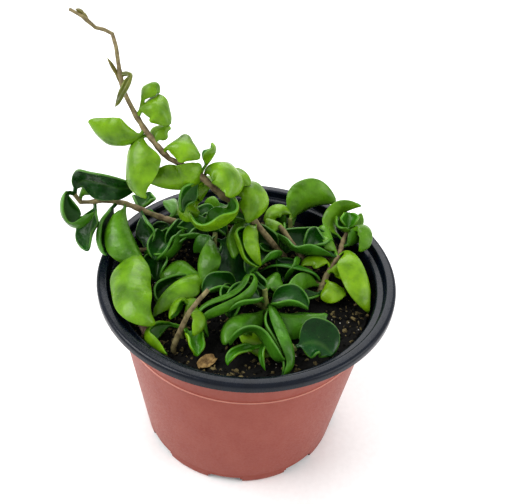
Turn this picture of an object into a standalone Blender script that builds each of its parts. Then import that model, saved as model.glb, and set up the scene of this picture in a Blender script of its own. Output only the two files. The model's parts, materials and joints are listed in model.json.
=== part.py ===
"""Hindu rope plant (Hoya carnosa, the compact curled form) in a thin two-tone nursery pot.

Every leafy stem is one solid: a tapered stem with its thick folded leaves grown into it. The stems
stand in plain holes in the potting mix, and the mix fills the pot. The origin is the centre of the
pot's foot, on the surface it stands on, with +Z up and the front of the plant towards -Y.

Lengths in the tables are in millimetres and angles in degrees. MM turns them to metres.
"""

import itertools
import math
import random
from dataclasses import dataclass, replace

import bmesh
import bpy
from mathutils import Matrix, Vector, noise
from mathutils.bvhtree import BVHTree

MM = 0.001

# Pot: a six inch azalea pot, thermoformed from one thin sheet
SHEET = 1.0
POT_HEIGHT = 108.0
RIM_RADIUS = 76.0
RIM_DROP = 4.0
RIM_ROUND = 1.5
MOUTH_RADIUS = 70.5
SHOULDER_RADIUS = 67.9
STACK_STEP_HEIGHT = 95.0
STACK_STEP = 0.6
FOOT_RADIUS = 55.0
FOOT_WIDTH = 5.5
FLOOR_HEIGHT = 4.0
PAD_RADIUS = 20.0
POT_SEGMENTS = 28
NOTCHES = 8
NOTCH_WIDTH = 14.0
NOTCH_HEIGHT = 2.4
NOTCH_TURN = -5.0

# Potting mix
SOIL_TOP = 95.0
SOIL_SEGMENTS = 28
SOIL_RINGS = 5
SOIL_RELIEF = 1.6
SOIL_LUMP = 14.0
ROOT_DEPTH = 16.0

# Clearances between neighbouring pieces
SEAT_GAP = 0.3
LEAF_GAP = 0.7

# Leaves and stems
LEAF_THICKNESS = 1.3
PETIOLE = 3.0
PETIOLE_HALF_WIDTH = 1.1
MIDRIB_STEPS = 36
BLADE_ROWS = (0.0, 0.2, 0.46, 0.74, 1.0)
BLADE_COLUMNS = (-1.0, -0.55, 0.0, 0.55, 1.0)
NARROW_COLUMNS = (-1.0, 0.0, 1.0)
NARROW_ROWS = (0.0, 0.22, 0.5, 0.78, 1.0)
NARROW_WIDTH = 24.0
SKIRT_SHAPE = ((0.35, 1.0), (0.7, 1.2), (1.0, 0.4))
SKIRT_STEP = 1.7
ROOT_ROWS = 2
RUFFLE = 0.1
RUFFLE_WAVES = 1.6
BROADEST = 0.38
FOLD_REACH = 3.0
TIGHTEST_CURL = 0.7
FLUSH = 0.999
STEM_SPAN = 5
CROSSING_COST = 48.0
SEED = 7

# Loose pieces on the mix: centre, turn, and length, width and thickness
BARK_CHIPS = (
    ((-48.5, -34.0), -58.0, (12.0, 4.6, 2.6)),
    ((44.0, -30.0), 20.0, (6.0, 3.2, 2.0)),
    ((56.0, 2.0), 75.0, (5.0, 3.0, 1.8)),
)
CHIP_SEED = 1796066724
CHIP_ROUGHNESS = 0.14
SCRAP_CENTRE = (-15.5, -54.0)
SCRAP_SIZE = (9.0, 6.0)
SCRAP_THICKNESS = 0.7

# The plant is described as it looks from the front, from this many degrees above the horizon
VIEW_RISE = 40.4


@dataclass
class Leaf:
    """One leaf. Its midrib's points are seen from the leaf's base on the stem: how far to the right
    and up they look from the front, and how far they rise."""

    at: float  # length of stem below the leaf
    midrib: tuple
    face: tuple  # where the upper side looks at the midrib's middle: a clock angle in the front
    # view, anticlockwise from its right, and a lean towards the viewer
    width: float  # of the flattened blade
    fold: float = 15.0  # angle that each half rises to the upper side
    cup: float = 70.0  # angle that each half turns further by its margin
    twist: float = 0.0  # turn of the blade from its base to its tip
    petiole: float = PETIOLE
    filler: bool = False  # settled after the leaves that are seen from the front


@dataclass
class Stem:
    """A stem's route from its root or its fork to its tip, its radius at both ends, and its leaves."""

    name: str
    route: tuple
    radii: tuple
    leaves: tuple
    colour: tuple
    fork_of: str = ""


OLD_GREEN = (0.10, 0.26, 0.06, 1.0)
NEW_GREEN = (0.30, 0.48, 0.09, 1.0)
TWIG_BROWN = (0.24, 0.17, 0.10, 1.0)

def skirt(at, turns, reach, rise, width):
    """Leaves low on a stem that lie out round it, one above the other: turns are seen from above."""
    leaves = []
    for index, turn in enumerate(turns):
        side, back = math.cos(math.radians(turn)), math.sin(math.radians(turn))
        midrib = []
        for share, lift in SKIRT_SHAPE:
            right, away, up = side * reach * share, back * reach * share, rise * lift
            slope = math.radians(VIEW_RISE)
            midrib.append((right, away * math.sin(slope) + up * math.cos(slope), up))
        leaves.append(Leaf(at + SKIRT_STEP * index, tuple(midrib), (90, VIEW_RISE), width, filler=True))
    return tuple(leaves)


TALL_STEM = Stem(
    "tall_stem",
    (
        (23, 15, 98), (13, 14, 113), (3, 12, 128), (-6, 10, 140), (-14, 9, 146), (-23, 8, 156),
        (-30, 8, 162), (-40, 9, 166), (-49, 11, 176), (-54, 13, 183), (-59, 16, 191), (-62, 19, 198),
        (-64, 24, 206), (-67, 30, 216), (-75, 33, 217), (-81, 35, 221), (-87, 37, 223),
    ),
    (1.9, 0.8),
    (
        Leaf(38, ((0, -5, -2), (0.5, -13, -6), (4.5, -22, -11)), (200, 60), 32, 10, 150),
        Leaf(38, ((-7, -1, 0), (-10.5, -8, -3), (-6, -20, -9)), (0, -40), 18, 15, 70),
        Leaf(56, ((3, 7, 6), (9, 6, 7), (11.5, -2, 0.5), (7, -9.5, -8)), (180, -60), 22, 10, 50),
        Leaf(62, ((1, 7, 5), (7, 9.5, 8), (13, 6, 4)), (250, -60), 16, 10, 50),
        Leaf(
            62,
            ((4.5, 0, 0), (7.5, -6, -4), (3, -13, -9), (-6, -17, -11), (-13, -13.5, -9), (-16, -10, -7)),
            (120, 20), 28, 10, 60, petiole=4,
        ),
        Leaf(67, ((-6, -1, 0), (-12, -6.5, -4), (-9, -14, -9), (0, -13, -9)), (40, -30), 24, 10, 60),
        Leaf(76, ((-6, -5, -4), (-9.5, -11, -8), (-8, -17, -13)), (0, 40), 13, 15, 50),
        Leaf(74, ((0.5, 7, 5), (7, 8, 6), (12, 2, 1), (11, -6, -5)), (215, -50), 28, 10, 60),
        Leaf(77, ((1.5, 6, 4), (5, 12, 9), (3, 16.5, 12)), (180, 10), 13, 20, 60, petiole=6),
        Leaf(
            82, ((2.5, 3, 2), (1.5, -4, -2), (-4, -10, -7), (-14.5, -12.5, -8), (-24.5, -13.5, -9)),
            (135, -40), 30, 10, 50,
        ),
        Leaf(98.6, ((3.5, 3, 4), (10.5, 3.5, 5), (17, -1.5, -2)), (260, -65), 19, 10, 55),
        Leaf(102, ((-1.5, 4, 4), (1, 8.5, 7), (5, 9, 6)), (270, -60), 11, 10, 50),
        Leaf(
            108, ((-6.5, -3.5, -2), (-7.5, -15, -10), (-4.5, -24.5, -18), (0.5, -27.5, -21)), (0, -50),
            30, 10, 55,
        ),
        Leaf(113, ((-4, -5, -4), (-12, -7, -5), (-20, -4, -2), (-25.5, 2, 2)), (75, -30), 27, 10, 55),
        Leaf(119, ((4, 4.5, 5), (10, 4, 5), (14.5, -3.5, -3)), (230, -65), 19, 10, 50),
        Leaf(119, ((2, 7, 5.5), (3.5, 12, 10), (7, 15.5, 12), (8.5, 11, 8)), (280, -50), 10, 10, 50, petiole=8),
        Leaf(139, ((4.5, 0, 1), (4.5, -5, -2), (-1, -15, -10)), (200, 50), 6, 20, 60),
        Leaf(135, ((-3, 5, 4), (-7.5, 11.5, 9)), (20, 60), 2, 0, 20),
        Leaf(171, ((-2, 3, 2), (-5, 4, 4)), (90, 40), 2.5, 10, 20),
        *skirt(9, (200, 140), 22, 4, 20),
        *skirt(38, (100, 190), 20, -3, 20),
    ),
    NEW_GREEN,
)

LEFT_STEM = Stem(
    "left_stem",
    (
        (-24, 28, 98), (-28, 28, 105), (-35, 27, 112), (-50, 26, 118), (-67, 26, 125), (-78, 24, 127),
        (-89, 23, 126), (-92, 24, 130),
    ),
    (1.8, 1.0),
    (
        Leaf(80, ((5, 8, 6), (17, 6, 8), (26, 5, 6), (33, 7, 5)), (255, 45), 20, 8, 25),
        Leaf(76, ((3, 11, 4), (10, 13, 5), (16, 9.5, 3)), (270, -40), 16),
        Leaf(84, ((-4, -5, 0), (0, -15, -6), (7.5, -16, -6), (13, -8, -1)), (40, 25), 18),
        Leaf(68, ((0, -9, -8), (-1, -18, -13), (0, -26, -15)), (190, 55), 17, 10, 40),
        Leaf(56, ((-5, -7, -4), (-8, -15, -9), (-7, -23, -13), (-1, -28, -14)), (0, 25), 15),
        Leaf(52, ((0, -13, -5), (3, -25, -10), (5.5, -36, -15)), (170, -40), 28, 15, 85, twist=60),
        Leaf(43, ((3, -6, -3), (7.5, -14, -8), (4.5, -23, -12)), (200, 45), 18, 12, 50),
        Leaf(19, ((0, -9, -3), (-3.5, -16.5, -6), (-11, -19, -8), (-19, -16, -7)), (125, 20), 25),
        Leaf(33, ((-5, 2, 2), (-9, 1, 1)), (95, 40), 4, 20, 20),
        Leaf(18, ((0.5, 5, 4), (1.5, 11, 9)), (0, 30), 1.6, 0, 10),
        Leaf(24, ((-6, -6, -6), (-12, -14, -11)), (90, 30), 16, filler=True),
        Leaf(28, ((3, 6, 1), (1, 12, -2)), (200, -20), 16, filler=True),
        *skirt(8, (165, 235, 310), 22, 4, 20),
        *skirt(46, (75,), 18, -4, 18),
    ),
    OLD_GREEN,
)

LEFT_FRONT_STEM = Stem(
    "left_front_stem",
    ((-30, 28, 107), (-40, 20, 107), (-50, 10, 109), (-58, 5, 111)),
    (1.6, 1.1),
    (
        Leaf(35, ((-1, -6, 4.5), (1, -16, 6), (7, -26, 4.5), (16, -34, -3)), (280, -45), 23, 5, 40, petiole=4),
        Leaf(22, ((2, -9, -4), (5, -18, -8)), (100, 40), 18, filler=True),
        *skirt(14, (250, 0), 20, 4, 20),
    ),
    OLD_GREEN,
    "left_stem",
)

CENTRE_STEM = Stem(
    "centre_stem",
    ((10, -22, 98), (10, -21, 106), (9, -19, 113)),
    (1.7, 1.1),
    (
        Leaf(
            15, ((-8, 2, 0), (-12.5, -5.5, -2), (-23.5, -11.5, -5), (-28.5, -17.5, -9), (-26.5, -25, -14)),
            (60, 55), 25, 10, 150,
        ),
        Leaf(4, ((-6, -3.5, 2), (-13, -5.5, 3), (-18, -11, 0), (-16, -19.5, -4)), (300, -25), 28, 10, 80),
        Leaf(4, ((7, -2, 2), (18, -2, 0), (31, -0.5, -4)), (270, -40), 23, 20, 50),
        Leaf(6, ((5, -3.5, 2), (10, -13, 0), (13.5, -22.5, -3), (9, -30, -6)), (160, 45), 23, 10, 150),
        Leaf(13, ((2, 5, 0), (6, 10, -4)), (300, -30), 21, filler=True),
        *skirt(5, (30, 120, 210), 22, 4, 20),
    ),
    OLD_GREEN,
)

CENTRE_LEFT_STEM = Stem(
    "centre_left_stem",
    ((10, -21.5, 103), (-2, -14, 103), (-12, -6, 105), (-16, 0, 110), (-18, 10, 117), (-18, 14, 119)),
    (1.6, 1.1),
    (
        Leaf(51, ((-5.5, -9.5, -2), (-5, -20, -8), (0, -27, -12)), (0, -40), 23, 15, 70),
        Leaf(49, ((7.5, -5, -4), (10, -16, -10), (8, -25, -14)), (60, 60), 28, 5, 20),
        Leaf(
            31, ((-13, 0.5, 0), (-20, 4.5, 1), (-27, 0.5, -1), (-28, -5.5, -5)), (270, -10), 23, 15, 75,
            petiole=9,
        ),
        Leaf(
            29, ((-14, 3, 0), (-27, 1.5, -3), (-33, -3, -5), (-33, -7.5, -6), (-28.5, -11.5, -7)), (0, 40), 16,
            15, 60, petiole=16,
        ),
        Leaf(27, ((-5.5, -0.5, 2), (-14.5, 1.5, 4), (-26, -6, 3), (-31, -20, -3)), (305, -20), 25, 15, 70),
        Leaf(24, ((0, 7, 1), (6, 12, -2)), (200, -20), 21, filler=True),
        Leaf(38, ((-5, 4, -1), (-12, 5, -4)), (60, -20), 21, filler=True),
        *skirt(14, (190, 260), 20, 4, 20),
    ),
    OLD_GREEN,
    "centre_stem",
)

FRONT_STEM = Stem(
    "front_stem",
    ((10, -22, 101), (18, -36, 100), (25, -48, 103)),
    (1.6, 1.0),
    (
        Leaf(29, ((7, 3, 3), (13, 2, 2), (18, -2.5, 0)), (120, 65), 25, 5, 30),
        Leaf(
            28, ((-7, -6, -2), (-12, 0, 2), (-17, 6, 6), (-23.5, 6, 6), (-29.5, -1, -2)), (100, -15), 16, 0, 30,
        ),
        Leaf(27, ((-14, -3, 0), (-22, 0, 3), (-26, -4, 0)), (270, -45), 18, 10, 40),
        Leaf(28, ((-10, 2, 2), (-14, -3, 0), (-12, -11, -4)), (180, 30), 5, 10, 40),
        Leaf(25, ((-22, -4, 0), (-28, -11, -3)), (90, 50), 7, petiole=16),
    ),
    OLD_GREEN,
    "centre_stem",
)

FRONT_LEFT_STEM = Stem(
    "front_left_stem",
    ((-29, -38, 98), (-28, -37, 104), (-27, -35, 110)),
    (1.5, 1.0),
    (
        Leaf(12, ((-1.5, 6, 4), (-6, 4, 3), (-7, -3.5, 0)), (315, 20), 14),
        Leaf(12, ((0.5, 4, 3), (3.5, 6.5, 3)), (270, -50), 14),
        Leaf(11, ((5, 3, 2), (9, -1, 1), (5, -8.5, -3)), (180, -30), 16),
        Leaf(3, ((-15.5, 0.5, 0), (-20, -5, -1), (-15.5, -10, -2), (-6, -13, -2)), (330, 30), 18, petiole=6),
        Leaf(4, ((5, -5, -1), (9.5, -11.5, -3)), (80, 40), 14),
    ),
    NEW_GREEN,
)

RIGHT_STEM = Stem(
    "right_stem",
    ((38, -4, 98), (41, 3, 105), (47, 12, 111)),
    (1.6, 1.0),
    (
        Leaf(2, ((-4.5, 7.5, 6), (-14.5, 11, 9), (-25.5, 9.5, 6), (-35.5, 5, 1)), (270, 35), 18, 10, 50),
        Leaf(4, ((-10, 3, 3), (-20.5, -0.5, 3), (-33, -1.5, 0)), (60, -45), 23, 10, 50),
        Leaf(3, ((-4, -4, 0), (-14.5, -6, 0), (-27, -4.5, 0), (-35, 2.5, 1)), (90, 30), 14, 10, 60),
        Leaf(22, ((-10.5, 1, 0), (-19.5, 2, -1), (-28, 6, 1), (-34, 11.5, 5)), (95, 30), 32, 10, 75),
        Leaf(21, ((-11.5, 9.5, 5), (-15.5, 10, 5), (-17.5, 5.5, 1)), (270, -20), 16, 15, 80, petiole=9),
        Leaf(22, ((-3.5, 5.5, 3), (-7, 10, 6), (-12.5, 11.5, 6)), (230, -20), 16),
        Leaf(22, ((6.5, 2.5, 3), (12.5, -7, 1), (15.5, -27.5, -12)), (215, -35), 28, 15, 50),
        Leaf(14, ((-5, 5, 4), (-12.5, 4.5, 4), (-16, -2, 1)), (290, -15), 20),
        Leaf(10, ((3, 4, 3), (9, 6, 4), (10.5, -2, 1)), (250, -45), 22, 15, 50),
        Leaf(8, ((4, -3, 0), (10.5, -7.5, -3)), (250, -50), 20, 15, 50),
    ),
    NEW_GREEN,
)

CENTRE_RIGHT_STEM = Stem(
    "centre_right_stem",
    ((39, -2, 101), (34, 4, 103), (30, 10, 106), (22, 18, 113), (15, 24, 119)),
    (1.7, 1.2),
    (
        Leaf(36, ((-3, 4, 2), (-10, 6, 2)), (260, -30), 21),
        Leaf(20, ((-6, -6, -2), (-12, -12, -6)), (120, 30), 21, filler=True),
        *skirt(22, (30,), 20, 2, 20),
    ),
    OLD_GREEN,
    "right_stem",
)

FAR_RIGHT_STEM = Stem(
    "far_right_stem",
    ((45, 9, 109), (48, 18, 110), (50, 25, 112), (52, 28, 115)),
    (1.4, 1.0),
    (
        Leaf(20, ((3, 1.5, 0), (-2, 2.5, 0), (-5.5, 10, 5)), (60, 35), 21),
        Leaf(20, ((0.5, 5, 3), (0.5, 12, 6)), (270, 45), 14),
        Leaf(20, ((8.5, 6, 4), (12.5, 0, 1), (7, -8, -5)), (200, -30), 23),
        Leaf(20, ((5.5, 5, 3), (11, 10, 6)), (300, -30), 9),
        Leaf(16, ((-8.5, 5.5, 2), (-8, 14, 8), (-3, 21, 14)), (180, -30), 17, petiole=4),
        Leaf(12, ((5, 3, -1), (10, 7, -3)), (200, 20), 17, filler=True),
    ),
    OLD_GREEN,
    "right_stem",
)

BACK_RIGHT_STEM = Stem(
    "back_right_stem",
    ((22, 38, 98), (22, 40, 105), (21, 41, 111)),
    (1.6, 1.0),
    (
        Leaf(12, ((-3, 7.5, 5), (-10, 7, 5), (-13, 1, 1), (-8, -4, -2)), (300, -25), 28, 10, 80),
        Leaf(11, ((6, 7, 4), (14.5, 10, 7), (26.5, 10, 6)), (100, -35), 30, 10, 60),
        Leaf(7, ((4, 8, 1), (6, 16, 0)), (200, 20), 21, filler=True),
        Leaf(6, ((-6, 5, 0), (-13, 10, -2)), (0, 20), 21, filler=True),
        Leaf(5, ((-9, -1, 0), (-18, 1, 0)), (90, 20), 18, filler=True),
        *skirt(4, (260,), 22, 4, 20),
    ),
    OLD_GREEN,
)

BACK_LEFT_STEM = Stem(
    "back_left_stem",
    ((-14, 42, 98), (-16, 43, 104), (-18, 44, 108)),
    (1.5, 1.0),
    (
        Leaf(8, ((-10, 2, 2), (-20, 2, 3), (-29, -2, 0)), (270, -35), 21),
        Leaf(6, ((-6, -5, 0), (-12, -10, -2)), (90, 40), 18, filler=True),
        Leaf(7, ((-3, 6, -1), (-9, 12, -3)), (20, 20), 18, filler=True),
        Leaf(5, ((8, 5, 0), (16, 9, -1)), (100, 20), 18, filler=True),
        *skirt(4, (200, 320), 20, 4, 20),
    ),
    NEW_GREEN,
)

STEMS = (
    TALL_STEM, LEFT_STEM, LEFT_FRONT_STEM, RIGHT_STEM, CENTRE_RIGHT_STEM, FAR_RIGHT_STEM,
    CENTRE_STEM, CENTRE_LEFT_STEM, FRONT_STEM, FRONT_LEFT_STEM, BACK_RIGHT_STEM, BACK_LEFT_STEM,
)

TWIG_STUB = Stem(
    "pruned_stub",
    ((-32, -47, 98), (-30, -45, 104), (-25, -41, 116), (-21, -38, 121), (-17, -35, 125)),
    (1.5, 1.1),
    (),
    TWIG_BROWN,
)


def seen(direction):
    """Turns a clock angle and a lean, as seen from the front, to a direction in space."""
    clock, lean = (math.radians(angle) for angle in direction)
    rise = math.radians(VIEW_RISE)
    up = Vector((0.0, math.sin(rise), math.cos(rise)))
    towards = Vector((0.0, -math.cos(rise), math.sin(rise)))
    across = Vector((1.0, 0.0, 0.0))
    return (across * math.cos(clock) + up * math.sin(clock)) * math.cos(lean) + towards * math.sin(lean)


def smooth_route(points):
    """Points of a Catmull-Rom curve through the given ones, after a straight root."""
    points = [Vector(p) for p in points]
    ends = [2 * points[0] - points[1], *points, 2 * points[-1] - points[-2]]
    route = []
    for before, start, end, after in zip(ends, ends[1:], ends[2:], ends[3:]):
        steps = max(1, round((end - start).length / STEM_SPAN))
        for step in range(steps):
            t = step / steps
            route.append(
                0.5
                * (
                    2 * start
                    + (end - before) * t
                    + (2 * before - 5 * start + 4 * end - after) * t**2
                    + (3 * start - before - 3 * end + after) * t**3
                )
            )
    return [*route, points[-1]]


def point_at(route, distance):
    """The point that lies this far along the route."""
    for start, end in zip(route, route[1:]):
        span = (end - start).length
        if distance <= span:
            return start.lerp(end, distance / span)
        distance -= span
    return route[-1].copy()


def route_length(route):
    return sum((end - start).length for start, end in zip(route, route[1:]))


def from_front(right, up, rise):
    """The way to a place that looks this far to the right and up from the front, and rises this far."""
    angle = math.radians(VIEW_RISE)
    nearer = (rise - up * math.cos(angle)) / math.sin(angle)
    return Vector((right, up * math.sin(angle) - nearer * math.cos(angle), rise))


def smooth_point(points, share):
    """The place at this share of the smoothest curve through all the points."""
    last = len(points) - 1
    place = Vector((0.0, 0.0, 0.0))
    for index, point in enumerate(points):
        weights = [(share * last - other) / (index - other) for other in range(last + 1) if other != index]
        place += math.prod(weights) * point
    return place


def half_width(leaf, share):
    """Half the blade's width at this share of its length: broad and oval, with a pointed tip."""
    if not 0.0 < share < 1.0:
        return PETIOLE_HALF_WIDTH * (1.0 - share)
    root = math.sin(0.5 * math.pi * min(1.0, share / BROADEST)) ** 0.95
    tip = 1.0 - max(0.0, (share - BROADEST) / (1.0 - BROADEST)) ** 2.6
    return max(PETIOLE_HALF_WIDTH * (1.0 - share), 0.5 * leaf.width * root * tip)


def midrib(leaf, base):
    """Places from the stem's middle to the leaf's tip: share of the blade, point, along, normal, curl.

    The normal is the upper side's, and the curl is the midrib's bend for each millimetre."""
    shape = [Vector((0.0, 0.0, 0.0))] + [from_front(*point) for point in leaf.midrib]
    points = [smooth_point(shape, step / MIDRIB_STEPS) for step in range(MIDRIB_STEPS + 1)]
    ways = [(points[min(i + 1, MIDRIB_STEPS)] - points[max(i - 1, 0)]) for i in range(MIDRIB_STEPS + 1)]
    spans = [way.length for way in ways]
    ways = [way.normalized() for way in ways]
    half = MIDRIB_STEPS // 2
    normals = [None] * (MIDRIB_STEPS + 1)
    normals[half] = seen(leaf.face)
    for order in (range(half, MIDRIB_STEPS + 1), range(half, -1, -1)):
        last = normals[half]
        for index in order:
            last = (last - last.dot(ways[index]) * ways[index]).normalized()
            normals[index] = last
    length = route_length(points)
    places, passed = [], 0.0
    for index, point in enumerate(points):
        if index:
            passed += (point - points[index - 1]).length
        before, after = ways[max(index - 1, 0)], ways[min(index + 1, MIDRIB_STEPS)]
        curl = (after - before) / max(spans[index], 0.001)
        share = (passed - leaf.petiole) / (length - leaf.petiole)
        turn = Matrix.Rotation(math.radians(leaf.twist) * (passed / length - 0.5), 3, ways[index])
        places.append((share, base + point, ways[index], turn @ normals[index], curl))
    return places


def blade_point(leaf, place, across, phase):
    """A point of the blade and its normal: place is on the midrib, across runs from -1 to 1.

    A margin stays out of the midrib's own curl, where the two would cross."""
    share, point, along, normal, curl = place
    share = min(1.0, max(0.0, share))
    half = half_width(leaf, share)
    grown = min(1.0, half / FOLD_REACH)
    fold, cup = math.radians(leaf.fold) * grown, math.radians(leaf.cup) * grown
    hand = -1.0 if across < 0 else 1.0
    side = along.cross(normal) * hand
    reach = abs(across)
    angle = fold + cup * reach
    if abs(cup) < 0.001:
        out, up = math.cos(fold) * reach, math.sin(fold) * reach
    else:
        out = (math.sin(angle) - math.sin(fold)) / cup
        up = (math.cos(fold) - math.cos(angle)) / cup
    out, up = out * half, up * half
    up /= math.hypot(1.0, max(0.0, up * curl.dot(normal)) / TIGHTEST_CURL)
    out /= math.hypot(1.0, max(0.0, out * curl.dot(side)) / TIGHTEST_CURL)
    tilted = normal
    if reach > 0.0:
        tilted = normal * math.cos(angle) - side * math.sin(angle)
    wave = half * RUFFLE * reach**2 * math.sin(2 * math.pi * RUFFLE_WAVES * share + phase * hand)
    return point + side * out + normal * up + tilted * wave, tilted


def blade_sheet(leaf, base, phase):
    """The leaf's middle surface as rows of (point, normal), petiole first."""
    places = midrib(leaf, base)
    narrow = leaf.width <= NARROW_WIDTH
    rows = [places[0]]
    for share in NARROW_ROWS if narrow else BLADE_ROWS:
        rows.append(min(places[1:], key=lambda place: abs(place[0] - share)))
    columns = NARROW_COLUMNS if narrow else BLADE_COLUMNS
    return [[blade_point(leaf, place, across, phase) for across in columns] for place in rows]


def sheet_faces(sheet, first=0):
    """The triangles between the sheet's points, whose numbers start from the first."""
    columns = len(sheet[0])
    faces = []
    for row in range(len(sheet) - 1):
        for column in range(columns - 1):
            corner = first + row * columns + column
            opposite = corner + columns + 1
            faces.append((corner, corner + 1, opposite))
            faces.append((corner, opposite, corner + columns))
    return faces


def sheet_tree(sheet, lift):
    """A search tree of the sheet's two faces, each lifted off the middle surface."""
    points, faces = [], []
    for hand in (1.0, -1.0):
        faces.extend(sheet_faces(sheet, len(points)))
        points.extend(p + n * hand * lift for row in sheet for p, n in row)
    return BVHTree.FromPolygons(points, faces)


def tube_tree(route, radii, lift):
    """A search tree of a stem's tube, widened by the lift."""
    points, faces = [], []
    sides = 8
    total = route_length(route)
    passed = 0.0
    for index, place in enumerate(route):
        ahead = route[min(index + 1, len(route) - 1)] - route[max(index - 1, 0)]
        across = ahead.orthogonal().normalized()
        if index:
            passed += (place - route[index - 1]).length
            across = (last - last.dot(ahead) / ahead.length_squared * ahead).normalized()
        last = across
        other = ahead.normalized().cross(across)
        radius = radii[0] + (radii[1] - radii[0]) * passed / total + lift
        for side in range(sides):
            angle = 2 * math.pi * side / sides
            points.append(place + (across * math.cos(angle) + other * math.sin(angle)) * radius)
    for ring in range(len(route) - 1):
        for side in range(sides):
            corner, after = ring * sides + side, ring * sides + (side + 1) % sides
            faces.append((corner, after, after + sides, corner + sides))
    return BVHTree.FromPolygons(points, faces)


def clear_of_pot(sheet, lift):
    """Whether the sheet stays off the potting mix, the pot's wall and its rim."""
    inside = SHOULDER_RADIUS - SHEET - STACK_STEP - lift
    for first, second in zip(sheet[1:], sheet[2:]):
        for column, (corner, _) in enumerate(first):
            after = first[min(column + 1, len(first) - 1)][0]
            above = second[column][0]
            for point in (corner, corner.lerp(after, 0.5), corner.lerp(above, 0.5), above):
                radius = math.hypot(point.x, point.y)
                if radius < RIM_RADIUS + lift and point.z < SOIL_TOP + SOIL_RELIEF + lift:
                    return False
                if inside < radius < RIM_RADIUS + lift and point.z < POT_HEIGHT + lift:
                    return False
    return True


def nudges(leaf):
    """The leaf as drawn and then changed a little: pairs of cost and leaf, the cheapest first."""
    options = []
    for clock in (0, 7, -7, 14, -14, 22, -22, 32, -32, 45, -45):
        for lift in (0, 1, 2, -1, 3.5, 5, 7, 9):
            for roll in (0, 15, -15, 30, -30):
                for size in (1.0, 0.93, 0.86, 0.78, 0.7):
                    cost = abs(clock) + 6 * abs(lift) + 0.6 * abs(roll) + 130 * (1.0 - size)
                    options.append((cost, clock, lift, roll, size))
    for cost, clock, lift, roll, size in sorted(options):
        cos, sin = math.cos(math.radians(clock)) * size, math.sin(math.radians(clock)) * size
        count = len(leaf.midrib)
        moved = []
        for index, (right, up, rise) in enumerate(leaf.midrib, start=1):
            moved.append((
                right * cos - up * sin, right * sin + up * cos, rise * size + lift * index / count,
            ))
        yield cost, replace(
            leaf,
            midrib=tuple(moved),
            face=(leaf.face[0] + clock + roll, leaf.face[1]),
            width=leaf.width * size,
        )


def settle_leaves(stems):
    """Finds a place for every leaf that is clear of the pot, the stems and the leaves before it.

    Leaves of one body may cross, as they are fused, but only where keeping apart costs more.
    The fillers come after the others, and take the room that is left."""
    chance = random.Random(SEED)
    lift = 0.5 * (LEAF_THICKNESS + LEAF_GAP)
    routes = {stem.name: smooth_route(stem.route) for stem in stems}
    tubes = [
        (stem.fork_of or stem.name, tube_tree(routes[stem.name], stem.radii, 0.5 * LEAF_GAP))
        for stem in stems
    ]
    settled = {stem.name: [] for stem in stems}
    placed = []
    for filler in (False, True):
        for stem, drawn in ((s, leaf) for s in stems for leaf in s.leaves if leaf.filler == filler):
            body = stem.fork_of or stem.name
            phase = chance.uniform(0.0, 2.0 * math.pi)
            base = point_at(routes[stem.name], drawn.at)
            best, best_cost = None, math.inf
            for cost, leaf in nudges(drawn):
                if cost >= best_cost:
                    break
                sheet = blade_sheet(leaf, base, phase)
                if not clear_of_pot(sheet, lift):
                    continue
                whole, blade = sheet_tree(sheet, lift), sheet_tree(sheet[ROOT_ROWS:], lift)
                if any(whole.overlap(tree) for other, tree in tubes if other != body):
                    continue
                if any(whole.overlap(tree) for other, tree, _ in placed if other != body):
                    continue
                if any(blade.overlap(tree) for other, _, tree in placed if other == body):
                    cost += CROSSING_COST
                if cost < best_cost:
                    best, best_cost = (leaf, sheet, whole, blade), cost
            if best is None:
                continue
            leaf, sheet, whole, blade = best
            placed.append((body, whole, blade))
            settled[stem.name].append(sheet)
    return routes, settled


def soil_height(x, y):
    """Height of the potting mix at a place across the pot."""
    return SOIL_TOP + SOIL_RELIEF * noise.noise(Vector((x, y, 0.0)) / SOIL_LUMP)


def new_material(name, colour, roughness):
    material = bpy.data.materials.new(name)
    material.use_nodes = True
    shader = material.node_tree.nodes["Principled BSDF"]
    shader.inputs["Base Color"].default_value = colour
    shader.inputs["Roughness"].default_value = roughness
    shader.inputs["Metallic"].default_value = 0.0
    material.diffuse_color = colour
    return material


def new_object(name, mesh, collection):
    thing = bpy.data.objects.new(name, mesh)
    collection.objects.link(thing)
    return thing


def solid_mesh(thing):
    """The object's mesh with its modifiers applied. The object itself is removed."""
    graph = bpy.context.evaluated_depsgraph_get()
    mesh = bpy.data.meshes.new_from_object(thing.evaluated_get(graph))
    bpy.data.objects.remove(thing)
    return mesh


def finish(thing, material):
    thing.data.materials.clear()
    thing.data.materials.append(material)
    thing.data.shade_smooth()
    thing.data.set_sharp_from_angle(angle=math.radians(40))
    return thing


def turned(name, profile, segments, collection):
    """An object whose profile, in (radius, height) pairs, is turned round the upright axis."""
    mesh = bpy.data.meshes.new(name)
    shape = bmesh.new()
    corners = [shape.verts.new((radius * MM, 0.0, height * MM)) for radius, height in profile]
    for start, end in zip(corners, corners[1:]):
        shape.edges.new((start, end))
    shape.to_mesh(mesh)
    shape.free()
    thing = new_object(name, mesh, collection)
    screw = thing.modifiers.new("turn", "SCREW")
    screw.steps = screw.render_steps = segments
    screw.use_merge_vertices = True
    screw.merge_threshold = 0.00001
    return thing


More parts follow.
